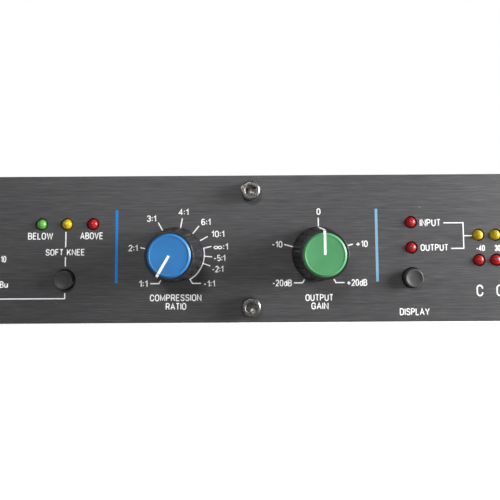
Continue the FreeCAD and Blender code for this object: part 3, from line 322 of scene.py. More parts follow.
PANEL = brushed_panel()
# The white and the blue ink carry a painted glow (emission) to stand for their brightness under the lights.
INK_WHITE = printed_ink("ink_white", (0.93, 0.93, 0.92), 0.30)
INK_BLUE = printed_ink("ink_blue", (0.002, 0.20, 0.62), 0.32)
# painted reflection: the same blue ink made paler, standing for glare on the right divider line
INK_BLUE_PAINTED_GLARE = printed_ink("ink_blue_painted_glare", (0.26, 0.52, 0.76))
KNOB_BLACK = moulded_plastic("knob_black", (0.020, 0.019, 0.021), 0.40, 1800)
SCREW_METAL = plated_metal("worn_screw_metal", (0.40, 0.39, 0.37), (0.030, 0.028, 0.027), 0.30, patch=2100)
SOCKET_DARK = plated_metal("screw_socket_dark", (0.42, 0.40, 0.38), (0.03, 0.028, 0.026), 0.35, patch=1300)
SLOT_MATERIALS = {
    "panel_anodised": PANEL,
    "case_paint": powder_coat("case_paint", (0.020, 0.020, 0.022)),
    "screw_steel": SCREW_METAL,
    "knob_black": KNOB_BLACK,
    "cap_red": moulded_plastic("cap_red", (0.52, 0.045, 0.040), 0.38, 2400),
    "cap_blue": moulded_plastic("cap_blue", (0.034, 0.226, 0.580), 0.38, 2400),
    "cap_green": moulded_plastic("cap_green", (0.104, 0.384, 0.160), 0.38, 2400),
    "shaft_metal": plated_metal("shaft_metal", (0.70, 0.70, 0.70), (0.5, 0.5, 0.5)),
    "plated_metal": plated_metal("nickel_plate", (0.66, 0.64, 0.60), (0.42, 0.40, 0.37)),
    "button_black": moulded_plastic("button_black", (0.078, 0.078, 0.079), 0.46, 2200),
    "spring_steel": plated_metal("spring_steel", (0.64, 0.64, 0.64), (0.4, 0.4, 0.4)),
    "lamp_green": lamp_epoxy("lamp_green", (0.16, 0.46, 0.09)),
    "lamp_yellow": lamp_epoxy("lamp_yellow", (0.70, 0.52, 0.012)),
    "lamp_red": lamp_epoxy("lamp_red", (0.55, 0.016, 0.020)),
    "circuit_board": circuit_laminate(),
    "chip_black": moulded_plastic("chip_black", (0.025, 0.025, 0.026), 0.55, 3000, 0, 0.0003),
    "capacitor_sleeve": moulded_plastic("capacitor_sleeve", (0.02, 0.03, 0.09), 0.3, 3000, 0.3, 0.0005),
    "film_red": moulded_plastic("film_red", (0.42, 0.04, 0.02), 0.25, 3000, 0.4, 0.0012),
    "resistor_tan": moulded_plastic("resistor_tan", (0.55, 0.40, 0.24), 0.45, 3000, 0, 0.0004),
    "sink_black": powder_coat("sink_black", (0.03, 0.03, 0.03), 0.0003),
    "ribbon_grey": layered("ribbon_grey", (0.45, 0.45, 0.47), (0.28, 0.28, 0.3), 250),
    "core_iron": layered("core_iron", (0.25, 0.25, 0.26), (0.10, 0.10, 0.11), 320),
    "winding_tape": layered("winding_tape", (0.72, 0.56, 0.12), (0.55, 0.40, 0.07), 60),
    "connector_metal": powder_coat("connector_metal", (0.022, 0.022, 0.024), 0.0004),
    "connector_plastic": moulded_plastic("connector_plastic", (0.018, 0.018, 0.019), 0.45, 2200, 0, 0.0003),
    "contact_metal": plated_metal("contact_metal", (0.78, 0.68, 0.42), (0.55, 0.46, 0.28), 0.2),
}

NODE_SLOT = {part["node"]: part["material_slot"] for part in frame["record"]["subparts"]}
for node_name, cad_object in frame["nodes"].items():
    cad_object.data.materials.clear()
    cad_object.data.materials.append(SLOT_MATERIALS[NODE_SLOT[node_name]])


# ---- mesh helpers ----

def finish_mesh(name, mesh, material, body, smooth_angle=35):
    """Makes a mesh a piece that rides on a body; edges sharper than the angle stay sharp."""
    mesh.materials.append(material)
    item = bpy.data.objects.new(name, mesh)
    LINK(item)
    for face in mesh.polygons:
        face.use_smooth = True
    mesh.set_sharp_from_angle(angle=math.radians(smooth_angle))
    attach(item, body)
    return item


def from_bmesh(name, shape, material, body, smooth_angle=35):
    bmesh.ops.recalc_face_normals(shape, faces=shape.faces)
    mesh = bpy.data.meshes.new(name)
    shape.to_mesh(mesh)
    shape.free()
    return finish_mesh(name, mesh, material, body, smooth_angle)


def add_lathe(shape, profile, centre, segments=64, radius_at=None):
    """Turns a profile of (radius, y) about an axis along Y through centre; ends at radius 0 are closed."""
    rings = []
    cx, cz = centre
    for index, (radius, y) in enumerate(profile):
        if radius < 1e-9:
            rings.append([shape.verts.new((cx, y, cz))])
            continue
        ring = []
        for i in range(segments):
            angle = 2 * math.pi * i / segments
            r = radius_at(radius, angle, index) if radius_at else radius
            ring.append(shape.verts.new((cx + r * math.sin(angle), y, cz + r * math.cos(angle))))
        rings.append(ring)
    for first, second in zip(rings, rings[1:]):
        for i in range(segments):
            j = (i + 1) % segments
            corners = [ring[k % len(ring)] for ring, k in ((first, i), (first, j), (second, j), (second, i))]
            unique = list(dict.fromkeys(corners))
            if len(unique) > 2:
                shape.faces.new(unique)


def add_box(shape, centre, size):
    for vertex in bmesh.ops.create_cube(shape, size=1)["verts"]:
        vertex.co = Vector([at + part * extent for at, part, extent in zip(centre, vertex.co, size)])


def round_corner(corner, before, after, radius, steps=4):
    """Points of a rounded corner of a profile."""
    corner, before, after = Vector(corner), Vector(before), Vector(after)
    start = corner + (before - corner).normalized() * radius
    end = corner + (after - corner).normalized() * radius
    points = []
    for i in range(steps + 1):
        t = i / steps
        points.append(tuple((1 - t) ** 2 * start + 2 * t * (1 - t) * corner + t ** 2 * end))
    return points


def rounded_profile(points, radii):
    """A profile whose inner corners are rounded; radii[i] belongs to points[i], 0 keeps it sharp."""
    result = []
    for i, (point, radius) in enumerate(zip(points, radii)):
        if radius and 0 < i < len(points) - 1:
            result += round_corner(point, points[i - 1], points[i + 1], radius)
        else:
            result.append(point)
    return result


def plate_with_holes(name, outline, holes, front, back, edge, material, body):
    """A flat plate across Y with small chamfers round its outline and holes. Loops are lists of (x, z)."""
    def inset(loop, amount, outer):
        """The loop moved into the plate's face, where its chamfer ends."""
        count = len(loop)
        moved = []
        for i in range(count):
            before, here, after = (Vector(loop[k % count]) for k in (i - 1, i, i + 1))
            one = (here - before).normalized()
            two = (after - here).normalized()
            normal = Vector((-one.y, one.x)) + Vector((-two.y, two.x))
            normal = normal.normalized() / max(0.5, math.cos(one.angle(two) / 2))
            moved.append(tuple(here + normal * (amount if outer else -amount)))
        return moved

    loops = [(outline, True)] + [(hole, False) for hole in holes]
    shape = bmesh.new()
    face_loops = [inset(loop, edge, outer) for loop, outer in loops]
    points = []
    edges = []
    for loop in face_loops:
        first = len(points)
        points += [Vector(p) for p in loop]
        edges += [(first + i, first + (i + 1) % len(loop)) for i in range(len(loop))]
    flat, _, triangles, origin, _, _ = delaunay_2d_cdt(points, edges, [], 1, MERGE_DISTANCE)
    holes_only = face_loops[1:]
    centres = [(sum(p[0] for p in h) / len(h), sum(p[1] for p in h) / len(h), h) for h in holes_only]

    def in_hole(x, z):
        for cx, cz, loop in centres:
            if abs(x - cx) < LARGEST_HOLE and abs(z - cz) < LARGEST_HOLE and inside(x, z, loop):
                return True
        return False

    keep = [t for t in triangles
            if not in_hole(sum(flat[i].x for i in t) / 3, sum(flat[i].y for i in t) / 3)]
    where = {}
    for side, y in ((0, front), (1, back)):
        for i, point in enumerate(flat):
            where[side, i] = shape.verts.new((point.x, y, point.y))
    lookup = {}
    for new_index, olds in enumerate(origin):
        for old in olds:
            lookup[old] = new_index
    for triangle in keep:
        for side in (0, 1):
            shape.faces.new([where[side, i] for i in triangle])
    first = 0
    for loop, _ in loops:
        count = len(loop)
        near = [shape.verts.new((x, front + edge, z)) for x, z in loop]
        far = [shape.verts.new((x, back - edge, z)) for x, z in loop]
        top = [where[0, lookup[first + i]] for i in range(count)]
        bottom = [where[1, lookup[first + i]] for i in range(count)]
        for one, two in ((top, near), (near, far), (far, bottom)):
            for i in range(count):
                j = (i + 1) % count
                shape.faces.new([one[i], one[j], two[j], two[i]])
        first += count
    loose = [v for v in shape.verts if not v.link_faces]
    bmesh.ops.delete(shape, geom=loose, context="VERTS")
    return from_bmesh(name, shape, material, body, 25)


def inside(x, z, loop):
    """Whether a point lies inside a closed loop."""
    result = False
    for i in range(len(loop)):
        x0, z0 = loop[i]
        x1, z1 = loop[i - 1]
        if (z0 > z) != (z1 > z) and x < (x1 - x0) * (z - z0) / (z1 - z0) + x0:
            result = not result
    return result


def circle_loop(x, z, radius, count=40):
    return [(x + radius * math.cos(2 * math.pi * i / count), z + radius * math.sin(2 * math.pi * i / count))
            for i in range(count)]


def slot_loop(x, z, length, radius, count=32):
    half = length / 2 - radius
    points = []
    for i in range(count):
        angle = -math.pi / 2 + 2 * math.pi * (i + 0.5) / count
        side = half if math.cos(angle) > 0 else -half
        points.append((x + side + radius * math.cos(angle), z + radius * math.sin(angle)))
    return points


def rounded_rectangle(x0, x1, z0, z1, radius, steps=6):
    points = []
    corners = ((x1 - radius, z0 + radius, -90), (x1 - radius, z1 - radius, 0),
               (x0 + radius, z1 - radius, 90), (x0 + radius, z0 + radius, 180))
    for cx, cz, start in corners:
        for i in range(steps + 1):
            angle = math.radians(start + 90 * i / steps)
            points.append((cx + radius * math.cos(angle), cz + radius * math.sin(angle)))
    return points


# ---- places read from the frame ----

def middle(node):
    """Centre (x, z) of a node's box."""
    low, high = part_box(node)
    return (low.x + high.x) / 2, (low.z + high.z) / 2


def islands(node):
    """Centre (x, z) of each separate solid of a node, from left to right."""
    shape = bmesh.new()
    shape.from_mesh(frame["nodes"][node].data)
    bmesh.ops.remove_doubles(shape, verts=shape.verts, dist=MERGE_DISTANCE)
    left = set(shape.verts)
    centres = []
    while left:
        stack = [left.pop()]
        group = [stack[0]]
        while stack:
            vertex = stack.pop()
            for edge in vertex.link_edges:
                other = edge.other_vert(vertex)
                if other in left:
                    left.remove(other)
                    stack.append(other)
                    group.append(other)
        xs = [v.co.x for v in group]
        zs = [v.co.z for v in group]
        centres.append(((min(xs) + max(xs)) / 2, (min(zs) + max(zs)) / 2))
    shape.free()
    return sorted(centres)


KNOBS = {name: middle(name + "_knob_cap") for name in ("threshold", "ratio", "gain")}
BUTTONS = {name: middle(name + "_button") for name in ("soft_knee", "display", "bypass", "link", "power")}
LAMP_NODES = ("green_lamps", "yellow_lamps", "red_lamps", "level_meter_lamps", "reduction_meter_lamps")
LAMPS = {name: islands(name) for name in LAMP_NODES}
SCREWS = islands("panel_screws")
SLOTS = [m for m in frame["record"]["mounts"] if m["name"] == "rack_slots"][0]["dims"]


# ---- front panel ----

SCREW_HOLE = 1.9 * MM
BUSHING_HOLE = 3.6 * MM
BUTTON_HOLE = 3.05 * MM
LAMP_HOLE = 1.8 * MM
PANEL_CORNER = 0.5 * MM
PANEL_CHAMFER = 0.12 * MM


def make_panel():
    """The brushed plate with its rack slots and the holes for everything that passes through it."""
    half_x = SLOTS["spacing_x_mm"] / 2 * MM
    half_z = SLOTS["spacing_y_mm"] / 2 * MM
    holes = [slot_loop(sx * half_x, sz * half_z, SLOTS["slot_length_mm"] * MM, SLOTS["hole_r_mm"] * MM)
             for sx in (-1, 1) for sz in (-1, 1)]
    holes += [circle_loop(x, z, SCREW_HOLE) for x, z in SCREWS]
    holes += [circle_loop(x, z, BUSHING_HOLE) for x, z in KNOBS.values()]
    holes += [circle_loop(x, z, BUTTON_HOLE, 56) for x, z in BUTTONS.values()]
    holes += [circle_loop(x, z, LAMP_HOLE) for spots in LAMPS.values() for x, z in spots]
    outline = rounded_rectangle(PANEL_LOW.x, PANEL_HIGH.x, PANEL_LOW.z, PANEL_HIGH.z, PANEL_CORNER)
    plate = plate_with_holes("brushed_front_panel", outline, holes, PANEL_LOW.y, PANEL_HIGH.y,
                             PANEL_CHAMFER, PANEL, "case")
    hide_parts("front_panel")


# ---- knobs ----

FLUTES = 18
FLUTE_DEPTH = 0.30 * MM
GRIP_TOP = 6.75 * MM
GRIP_SKIRT = 7.85 * MM
SKIRT_HEIGHT = 1.2 * MM
SIDE_STEPS = 22
POINTER_ANGLES = {"threshold": 0, "ratio": -150, "gain": 0}


def make_knob(name, centre):
    """A tapered, fluted grip with a skirt, its coloured cap and its pointer line."""
    low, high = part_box(name + "_knob")
    cap_low, cap_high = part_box(name + "_knob_cap")
    rear, front = high.y, low.y
    base = (high.x - low.x) / 2
    cap = (cap_high.x - cap_low.x) / 2
    recess = front + 1.5 * MM
    skirt = rear - SKIRT_HEIGHT
    cavity = 6.25 * MM
    floor = rear - 2.8 * MM
    outline = [(0, recess), (cap + 0.05 * MM, recess), (cap + 0.05 * MM, front), (GRIP_TOP, front),
               (GRIP_SKIRT, skirt), (base, rear), (cavity, rear), (cavity, floor), (0, floor)]
    radii = [0, 0.1 * MM, 0.08 * MM, 0.28 * MM, 0.4 * MM, 0.15 * MM, 0.15 * MM, 0.1 * MM, 0]
    profile = rounded_profile(outline, radii)
    dense = []
    for one, two in zip(profile, profile[1:]):
        dense.append(one)
        if abs(one[1] - two[1]) > 6 * MM:
            dense += [tuple(Vector(one).lerp(Vector(two), i / SIDE_STEPS)) for i in range(1, SIDE_STEPS)]
    dense.append(profile[-1])

    def fluted(radius, angle, index):
        """Grooves down the grip that fade out at its top edge and above its skirt."""
        y = dense[index][1]
        if radius < GRIP_TOP - 0.02 * MM or index < 8 or y > skirt - 0.1 * MM:
            return radius
        fade_in = min(1, max(0, (y - front) / (1.2 * MM)))
        fade_out = min(1, max(0, (skirt - y) / (0.8 * MM)))
        depth = FLUTE_DEPTH * fade_in * fade_out
        wave = 0.5 + 0.5 * math.cos(FLUTES * angle)
        return radius - depth * wave ** 3

    shape = bmesh.new()
    add_lathe(shape, dense, centre, FLUTES * 16, fluted)
    body = from_bmesh(name + "_knob_grip", shape, KNOB_BLACK, name + "_knob", 40)
    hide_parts(name + "_knob")
    make_cap(name, centre, cap_low.y, cap_high.y, cap)
    make_pointer(name, centre, cap_low.y, front, rear, cap)


def make_cap(name, centre, front, rear, radius):
    """Flat coloured disc with a fine raised line and a bevelled rim."""
    outline = [(0, front + 0.08 * MM), (radius - 0.86 * MM, front + 0.08 * MM), (radius - 0.76 * MM, front),
               (radius - 0.56 * MM, front), (radius, front + 0.42 * MM), (radius, rear), (0, rear)]
    radii = [0, 0.06 * MM, 0.05 * MM, 0.06 * MM, 0.08 * MM, 0.05 * MM, 0]
    shape = bmesh.new()
    add_lathe(shape, rounded_profile(outline, radii), centre, 128)
    slot_name = NODE_SLOT[name + "_knob_cap"]
    cap = from_bmesh(name + "_coloured_cap", shape, SLOT_MATERIALS[slot_name], name + "_knob", 20)
    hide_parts(name + "_knob_cap")


def make_pointer(name, centre, face, front, rear, cap):
    """White line from the cap's centre to its rim, over the grip's top edge and down its side."""
    half = 0.36 * MM
    lift = 0.05 * MM
    route = [(0.0, face + 0.08 * MM), (cap - 0.86 * MM, face + 0.08 * MM), (cap - 0.76 * MM, face),
             (cap - 0.56 * MM, face), (cap - 0.05 * MM, face + 0.36 * MM), (cap + 0.12 * MM, front),
             (GRIP_TOP - 0.28 * MM, front), (GRIP_TOP + 0.02 * MM, front + 0.30 * MM),
             (7.72 * MM, rear - 1.7 * MM)]
    angle = math.radians(POINTER_ANGLES[name])
    along = Vector((math.sin(angle), math.cos(angle)))
    across = Vector((along.y, -along.x))
    shape = bmesh.new()
    layers = []
    for distance in (lift, -0.05 * MM):
        rows = []
        for i, (radius, y) in enumerate(route):
            before = Vector(route[max(0, i - 1)])
            after = Vector(route[min(len(route) - 1, i + 1)])
            step = (after - before).normalized()
            outward = Vector((step.y, -step.x)) * distance
            row = []
            for side in (-1, 1):
                spot = Vector(centre) + along * max(0, radius + outward.x) + across * half * side
                row.append(shape.verts.new((spot.x, max(PART_FRONT, y + outward.y), spot.y)))
            rows.append(row)
        layers.append(rows)
    outer, inner = layers
    rounds = [(over[0], over[1], under[1], under[0]) for over, under in zip(outer, inner)]
    for here, ahead in zip(rounds, rounds[1:]):
        for k in range(4):
            shape.faces.new([here[k], here[(k + 1) % 4], ahead[(k + 1) % 4], ahead[k]])
    for end in (rounds[0], rounds[-1]):
        shape.faces.new(end)
    from_bmesh(name + "_pointer_line", shape, INK_WHITE, name + "_knob", 15)


# ---- buttons and springs ----

def make_button(name, centre):
    """A round push cap with a dished face, its square stem and the spring behind it."""
    low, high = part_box(name + "_button")
    radius = (high.x - low.x) / 2
    front = low.y
    rear = 2.2 * MM
    outline = [(0, front + 0.38 * MM), (radius * 0.55, front + 0.30 * MM),
               (radius - 0.75 * MM, front + 0.12 * MM), (radius - 0.45 * MM, front),
               (radius - 0.2 * MM, front), (radius, front + 0.25 * MM),
               (radius, rear), (0, rear)]
    radii = [0, 0.5 * MM, 0.15 * MM, 0.1 * MM, 0.08 * MM, 0.12 * MM, 0.05 * MM, 0]
    shape = bmesh.new()
    add_lathe(shape, rounded_profile(outline, radii), centre, 72)
    stem = 2.4 * MM
    add_box(shape, (centre[0], (rear + high.y) / 2, centre[1]), (stem, high.y - rear, stem))
    button = from_bmesh(name + "_push_cap", shape, SLOT_MATERIALS["button_black"], name + "_button")
    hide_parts(name + "_button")
    make_spring(name, centre)


def make_spring(name, centre):
    """A wire coil of three and a half turns behind the button, fixed with the case."""
    low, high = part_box(name + "_spring")
    wire = 0.15 * MM
    outer = (high.x - low.x) / 2 - wire
    turns, per_turn, around = 3.5, 28, 8
    shape = bmesh.new()
    rings = []
    count = int(turns * per_turn)
    for i in range(count + 1):
        angle = 2 * math.pi * i / per_turn
        y = low.y + wire + (high.y - low.y - 2 * wire) * i / count
        ring = []
        for k in range(around):
            turn = 2 * math.pi * k / around
            r = outer + wire * math.cos(turn)
            ring.append(shape.verts.new((centre[0] + r * math.sin(angle), y + wire * math.sin(turn),
                                         centre[1] + r * math.cos(angle))))
        rings.append(ring)
    for one, two in zip(rings, rings[1:]):
        for k in range(around):
            shape.faces.new([one[k], one[(k + 1) % around], two[(k + 1) % around], two[k]])
    shape.faces.new(rings[0])
    shape.faces.new(rings[-1])
    spring = from_bmesh(name + "_return_coil", shape, SLOT_MATERIALS["spring_steel"], "case")
    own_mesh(spring)
    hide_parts(name + "_spring")


# ---- lamps ----

def make_lamps(node):
    """Domed lamps of tinted epoxy, each with a flange and two square leads."""
    low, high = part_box(node)
    radius = 1.5 * MM
    flange = 1.9 * MM
    lead = 0.5 * MM
    tip = low.y
    rear = tip + 5.3 * MM
    flange_front = rear - 1.0 * MM
    angles = [math.radians(degrees) for degrees in range(9, 91, 9)]
    profile = [(0, tip)] + [(radius * math.sin(a), tip + radius - radius * math.cos(a)) for a in angles]
    profile += [(radius, flange_front), (flange, flange_front), (flange, rear), (0, rear)]
    shape = bmesh.new()
    for centre in LAMPS[node]:
        add_lathe(shape, profile, centre, 40)
        for side in (-1, 1):
            add_box(shape, (centre[0] + side * 1.27 * MM, (rear + high.y) / 2, centre[1]),
                    (lead, high.y - rear, lead))
    slot_name = NODE_SLOT[node]
    lamps = from_bmesh(node + "_epoxy", shape, SLOT_MATERIALS[slot_name], "case")
    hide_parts(node)


# ---- socket head screws ----

HEAD_SEGMENTS = 96


def make_panel_screws():
    """Socket head screws with a knurled side, a turned recess and a hexagonal socket."""
    low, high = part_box("panel_screws")
    head = low.y
    radius = 2.87 * MM
    flat = 1.39 * MM
    shank = 1.75 * MM
    round_over = 0.42 * MM
    outline = [(shank, head), (radius - round_over, head), (radius, head + round_over), (radius, FACE_Y),
               (shank, FACE_Y), (shank, high.y - 0.4 * MM), (1.4 * MM, high.y), (0, high.y)]
    radii = [0, 0.12 * MM, 0.12 * MM, 0.08 * MM, 0, 0, 0, 0]

    def hexagonal(angle, distance):
        step = math.pi / 3
        return distance / math.cos(angle % step - step / 2)

    def knurled(r, angle, _):
        """Fine grooves round the head's side."""
        if abs(r - radius) < 0.01 * MM:
            return r - 0.06 * MM * (0.5 + 0.5 * math.cos(24 * angle))
        return r

    shape = bmesh.new()
    for centre in SCREWS:
        turn = (centre[0] * 3000 + centre[1] * 1700) % 1
        add_lathe(shape, rounded_profile(outline, radii), centre, HEAD_SEGMENTS, knurled)
        rings = []
        for kind, size, y in (("round", shank, head), ("round", 1.66 * MM, head + 0.10 * MM),
                              ("hex", flat, head + 0.14 * MM), ("hex", flat, head + 1.7 * MM),
                              ("round", 0.5 * MM, head + 2.1 * MM)):
            ring = []
            for i in range(HEAD_SEGMENTS):
                angle = 2 * math.pi * i / HEAD_SEGMENTS
                r = size if kind == "round" else hexagonal(angle + turn, size)
                place = centre[0] + r * math.sin(angle), y, centre[1] + r * math.cos(angle)
                ring.append(shape.verts.new(place))
            rings.append(ring)
        for one, two in zip(rings, rings[1:]):
            for i in range(HEAD_SEGMENTS):
                j = (i + 1) % HEAD_SEGMENTS
                shape.faces.new([one[i], one[j], two[j], two[i]])
        shape.faces.new(rings[-1])
    bmesh.ops.remove_doubles(shape, verts=shape.verts, dist=0.004 * MM)
    screws = from_bmesh("socket_head_screws", shape, SCREW_METAL, "case", 40)
    screws.data.materials.append(SOCKET_DARK)
    for face in screws.data.polygons:
        centre = face.center
        near = min(SCREWS, key=lambda s: (s[0] - centre.x) ** 2 + (s[1] - centre.z) ** 2)
        spread = math.hypot(near[0] - centre.x, near[1] - centre.z)
        if spread < 1.62 * MM and head + 0.11 * MM < centre.y < head + 3 * MM:
            face.material_index = 1
    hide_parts("panel_screws")


# ---- printed legends ----

def bend(cx, cz, rx, rz, start, end, steps=10):
    """Points along an elliptical arc, angles counted anticlockwise from the right."""
    return [(cx + rx * math.cos(math.radians(start + (end - start) * i / steps)),
             cz + rz * math.sin(math.radians(start + (end - start) * i / steps))) for i in range(steps + 1)]


LOOP = bend(0.5, 0.70, 0.5, 0.30, 0, 180) + bend(0.5, 0.30, 0.5, 0.30, 180, 360) + [(1.0, 0.70)]
BOWL = [(0, 0), (0, 1), (0.5, 1), *bend(0.5, 0.735, 0.5, 0.265, 90, -90), (0, 0.47)]
# Each letter: its width as a share of its height, then its strokes in a unit box.
GLYPHS = {
    "A": (0.56, [[(0, 0), (0.5, 1), (1, 0)], [(0.17, 0.33), (0.83, 0.33)]]),
    "B": (0.46, [[(0.5, 0.53), (0, 0.53), (0, 1), (0.5, 1), *bend(0.5, 0.765, 0.42, 0.235, 90, -90),
                  *bend(0.5, 0.265, 0.5, 0.265, 90, -90), (0, 0), (0, 0.53)]]),
    "C": (0.48, [bend(0.5, 0.70, 0.5, 0.30, -4, 180) + bend(0.5, 0.30, 0.5, 0.30, 180, 364)]),
    "D": (0.48, [[(0, 0), (0, 1), *bend(0.42, 0.66, 0.58, 0.34, 90, 0),
                  *bend(0.42, 0.34, 0.58, 0.34, 0, -90), (0, 0)]]),
    "E": (0.42, [[(1, 1), (0, 1), (0, 0), (1, 0)], [(0, 0.53), (0.9, 0.53)]]),
    "F": (0.40, [[(1, 1), (0, 1), (0, 0)], [(0, 0.52), (0.88, 0.52)]]),
    "G": (0.50, [bend(0.5, 0.70, 0.5, 0.30, 0, 180) + bend(0.5, 0.30, 0.5, 0.30, 180, 360)
                 + [(1, 0.46), (0.55, 0.46)]]),
    "H": (0.48, [[(0, 0), (0, 1)], [(1, 0), (1, 1)], [(0, 0.53), (1, 0.53)]]),
    "I": (0.0, [[(0, 0), (0, 1)]]),
    "K": (0.50, [[(0, 0), (0, 1)], [(1, 1), (0, 0.36)], [(0.34, 0.60), (1, 0)]]),
    "L": (0.38, [[(0, 1), (0, 0), (1, 0)]]),
    "M": (0.62, [[(0, 0), (0, 1), (0.5, 0.12), (1, 1), (1, 0)]]),
    "N": (0.50, [[(0, 0), (0, 1), (1, 0), (1, 1)]]),
    "O": (0.50, [LOOP]),
    "P": (0.46, [BOWL]),
    "R": (0.48, [BOWL, [(0.46, 0.47), (0.78, 0.36), (0.92, 0.0)]]),
    "S": (0.46, [bend(0.5, 0.76, 0.47, 0.24, 5, 250) + bend(0.5, 0.255, 0.5, 0.255, 70, -175)]),
    "T": (0.46, [[(0, 1), (1, 1)], [(0.5, 1), (0.5, 0)]]),
    "U": (0.48, [[(0, 1), *bend(0.5, 0.28, 0.5, 0.28, 180, 360), (1, 1)]]),
    "V": (0.54, [[(0, 1), (0.5, 0), (1, 1)]]),
    "W": (0.78, [[(0, 1), (0.25, 0), (0.5, 0.92), (0.75, 0), (1, 1)]]),
    "Y": (0.54, [[(0, 1), (0.5, 0.42), (1, 1)], [(0.5, 0.42), (0.5, 0)]]),
    "0": (0.42, [LOOP]),
    "1": (0.22, [[(0, 0.76), (0.5, 0.82), (1, 1), (1, 0)]]),
    "2": (0.42, [bend(0.5, 0.73, 0.48, 0.27, 175, -35) + [(0, 0.0), (1, 0)]]),
    "3": (0.42, [bend(0.5, 0.755, 0.46, 0.245, 170, -78) + bend(0.5, 0.26, 0.5, 0.26, 78, -170)]),
    "4": (0.44, [[(0.74, 0), (0.74, 1), (0, 0.28), (1, 0.28)]]),
    "5": (0.42, [[(0.92, 1), (0.14, 1), (0.04, 0.50), *bend(0.5, 0.31, 0.5, 0.31, 125, -140)]]),
    "6": (0.42, [bend(0.52, 0.70, 0.50, 0.30, 38, 180) + bend(0.5, 0.29, 0.5, 0.29, 180, 540, 20)]),
    "-": (0.26, [[(0, 0.40), (1, 0.40)]]),
    "+": (0.54, [[(0, 0.42), (1, 0.42)], [(0.5, 0.12), (0.5, 0.72)]]),
    ":": (0.0, [[(0, 0.10), (0, 0.26)], [(0, 0.58), (0, 0.74)]]),
    "∞": (0.92, [bend(0.24, 0.36, 0.24, 0.23, 60, 300) + bend(0.76, 0.36, 0.24, 0.23, 120, -120)
                 + [(0.36, 0.559)]]),
    "d": (0.42, [[(1, 1), (1, 0)], bend(0.5, 0.34, 0.5, 0.34, 0, 360, 20)]),
    "u": (0.42, [[(0, 0.68), *bend(0.5, 0.24, 0.5, 0.24, 180, 360), (1, 0.68)], [(1, 0.4), (1, 0)]]),
    " ": (0.18, []),
}
LETTER_GAP = 0.24


class Legend:
    """Collects flat printed shapes on the front panel's face, or the rear panel's, into one mesh."""

    def __init__(self, name, material, face=FACE_Y, slot="panel_anodised"):
        self.name = name
        self.material = material
        self.face = face
        self.slot = slot
        self.side = 1 if face == FACE_Y else -1
        self.shape = bmesh.new()

    def stroke(self, points, width=0.34):
        """A line of even width through points (x, z) in millimetres, with mitred corners."""
        route = []
        for point in points:
            here = Vector(point) * MM
            if not route or (here - route[-1]).length > 0.01 * MM:
                route.append(here)
        closed = (route[0] - route[-1]).length < 0.02 * MM
        if closed:
            route.pop()
        count = len(route)
        half = width * MM / 2
        left, right = [], []
        for i, here in enumerate(route):
            steps = []
            if i > 0 or closed:
                steps.append((here - route[i - 1]).normalized())
            if i < count - 1 or closed:
                steps.append((route[(i + 1) % count] - here).normalized())
            direction = sum(steps, Vector((0, 0)))
            direction = direction.normalized() if direction.length > 1e-6 else steps[0]
            stretch = 1 / max(0.5, abs(direction.dot(steps[0])))
            normal = Vector((-direction.y, direction.x)) * half * stretch
            left.append(here + normal)
            right.append(here - normal)
        self.band(left, right, closed)

    def band(self, left, right, closed):
        """A thin flat piece between two lines."""
        layers = [[[self.shape.verts.new((self.side * p.x, y, p.y)) for p in side] for side in (left, right)]
                  for y in (self.face - INK_THICK, self.face + INK_THICK)]
        (top_left, top_right), (low_left, low_right) = layers
        count = len(left)
        for i in range(count if closed else count - 1):
            j = (i + 1) % count
            self.shape.faces.new([top_left[i], top_left[j], top_right[j], top_right[i]])
            self.shape.faces.new([low_left[i], low_left[j], low_right[j], low_right[i]])
            self.shape.faces.new([top_left[i], top_left[j], low_left[j], low_left[i]])
            self.shape.faces.new([top_right[i], top_right[j], low_right[j], low_right[i]])
        if not closed:
            for i in (0, count - 1):
                self.shape.faces.new([top_left[i], top_right[i], low_right[i], low_left[i]])

    def text(self, words, x0, x1, z0, z1, width=0.31):
        """Condensed letters fitted between x0 and x1 and between z0 and z1, in millimetres."""
        x0, x1, z0, z1 = x0 + width / 2, x1 - width / 2, z0 + width / 2, z1 - width / 2
        sizes = [GLYPHS[letter][0] for letter in words]
        total = sum(sizes) + LETTER_GAP * (len(words) - 1)
        stretch = (x1 - x0) / total
        left = x0
        for letter, size in zip(words, sizes):
            for line in GLYPHS[letter][1]:
                self.stroke([(left + x * size * stretch, z0 + z * (z1 - z0)) for x, z in line], width)
            left += (size + LETTER_GAP) * stretch

    def word(self, words, x, z, height=1.95, align=0, width=0.31):
        """Letters of a stated height; align -1 starts at x, 0 centres on x, 1 ends at x."""
        span = (sum(GLYPHS[letter][0] for letter in words) + LETTER_GAP * (len(words) - 1)) * height * 0.9
        x0 = x - span / 2 - align * span / 2
        self.text(words, x0, x0 + span, z - height / 2, z + height / 2, width)

    def make(self):
        return from_bmesh(self.name, self.shape, self.material, "case", 20)


def polar(centre, radius, degrees):
    angle = math.radians(degrees)
    return centre[0] + radius * math.sin(angle), centre[1] + radius * math.cos(angle)


def dial_end(ink, centre, side, label, label_from, label_to, z=-10.3):
    """The bent line of a dial's end mark, at 150 degrees to one side, with its label."""
    start = polar(centre, 8.75, 150 * side)
    corner = polar(centre, 9.9, 150 * side)
    ink.stroke([start, (corner[0], z), (corner[0] + side * 2.55, z)])
    ink.text(label, label_from, label_to, z - 1.0, z + 1.0)


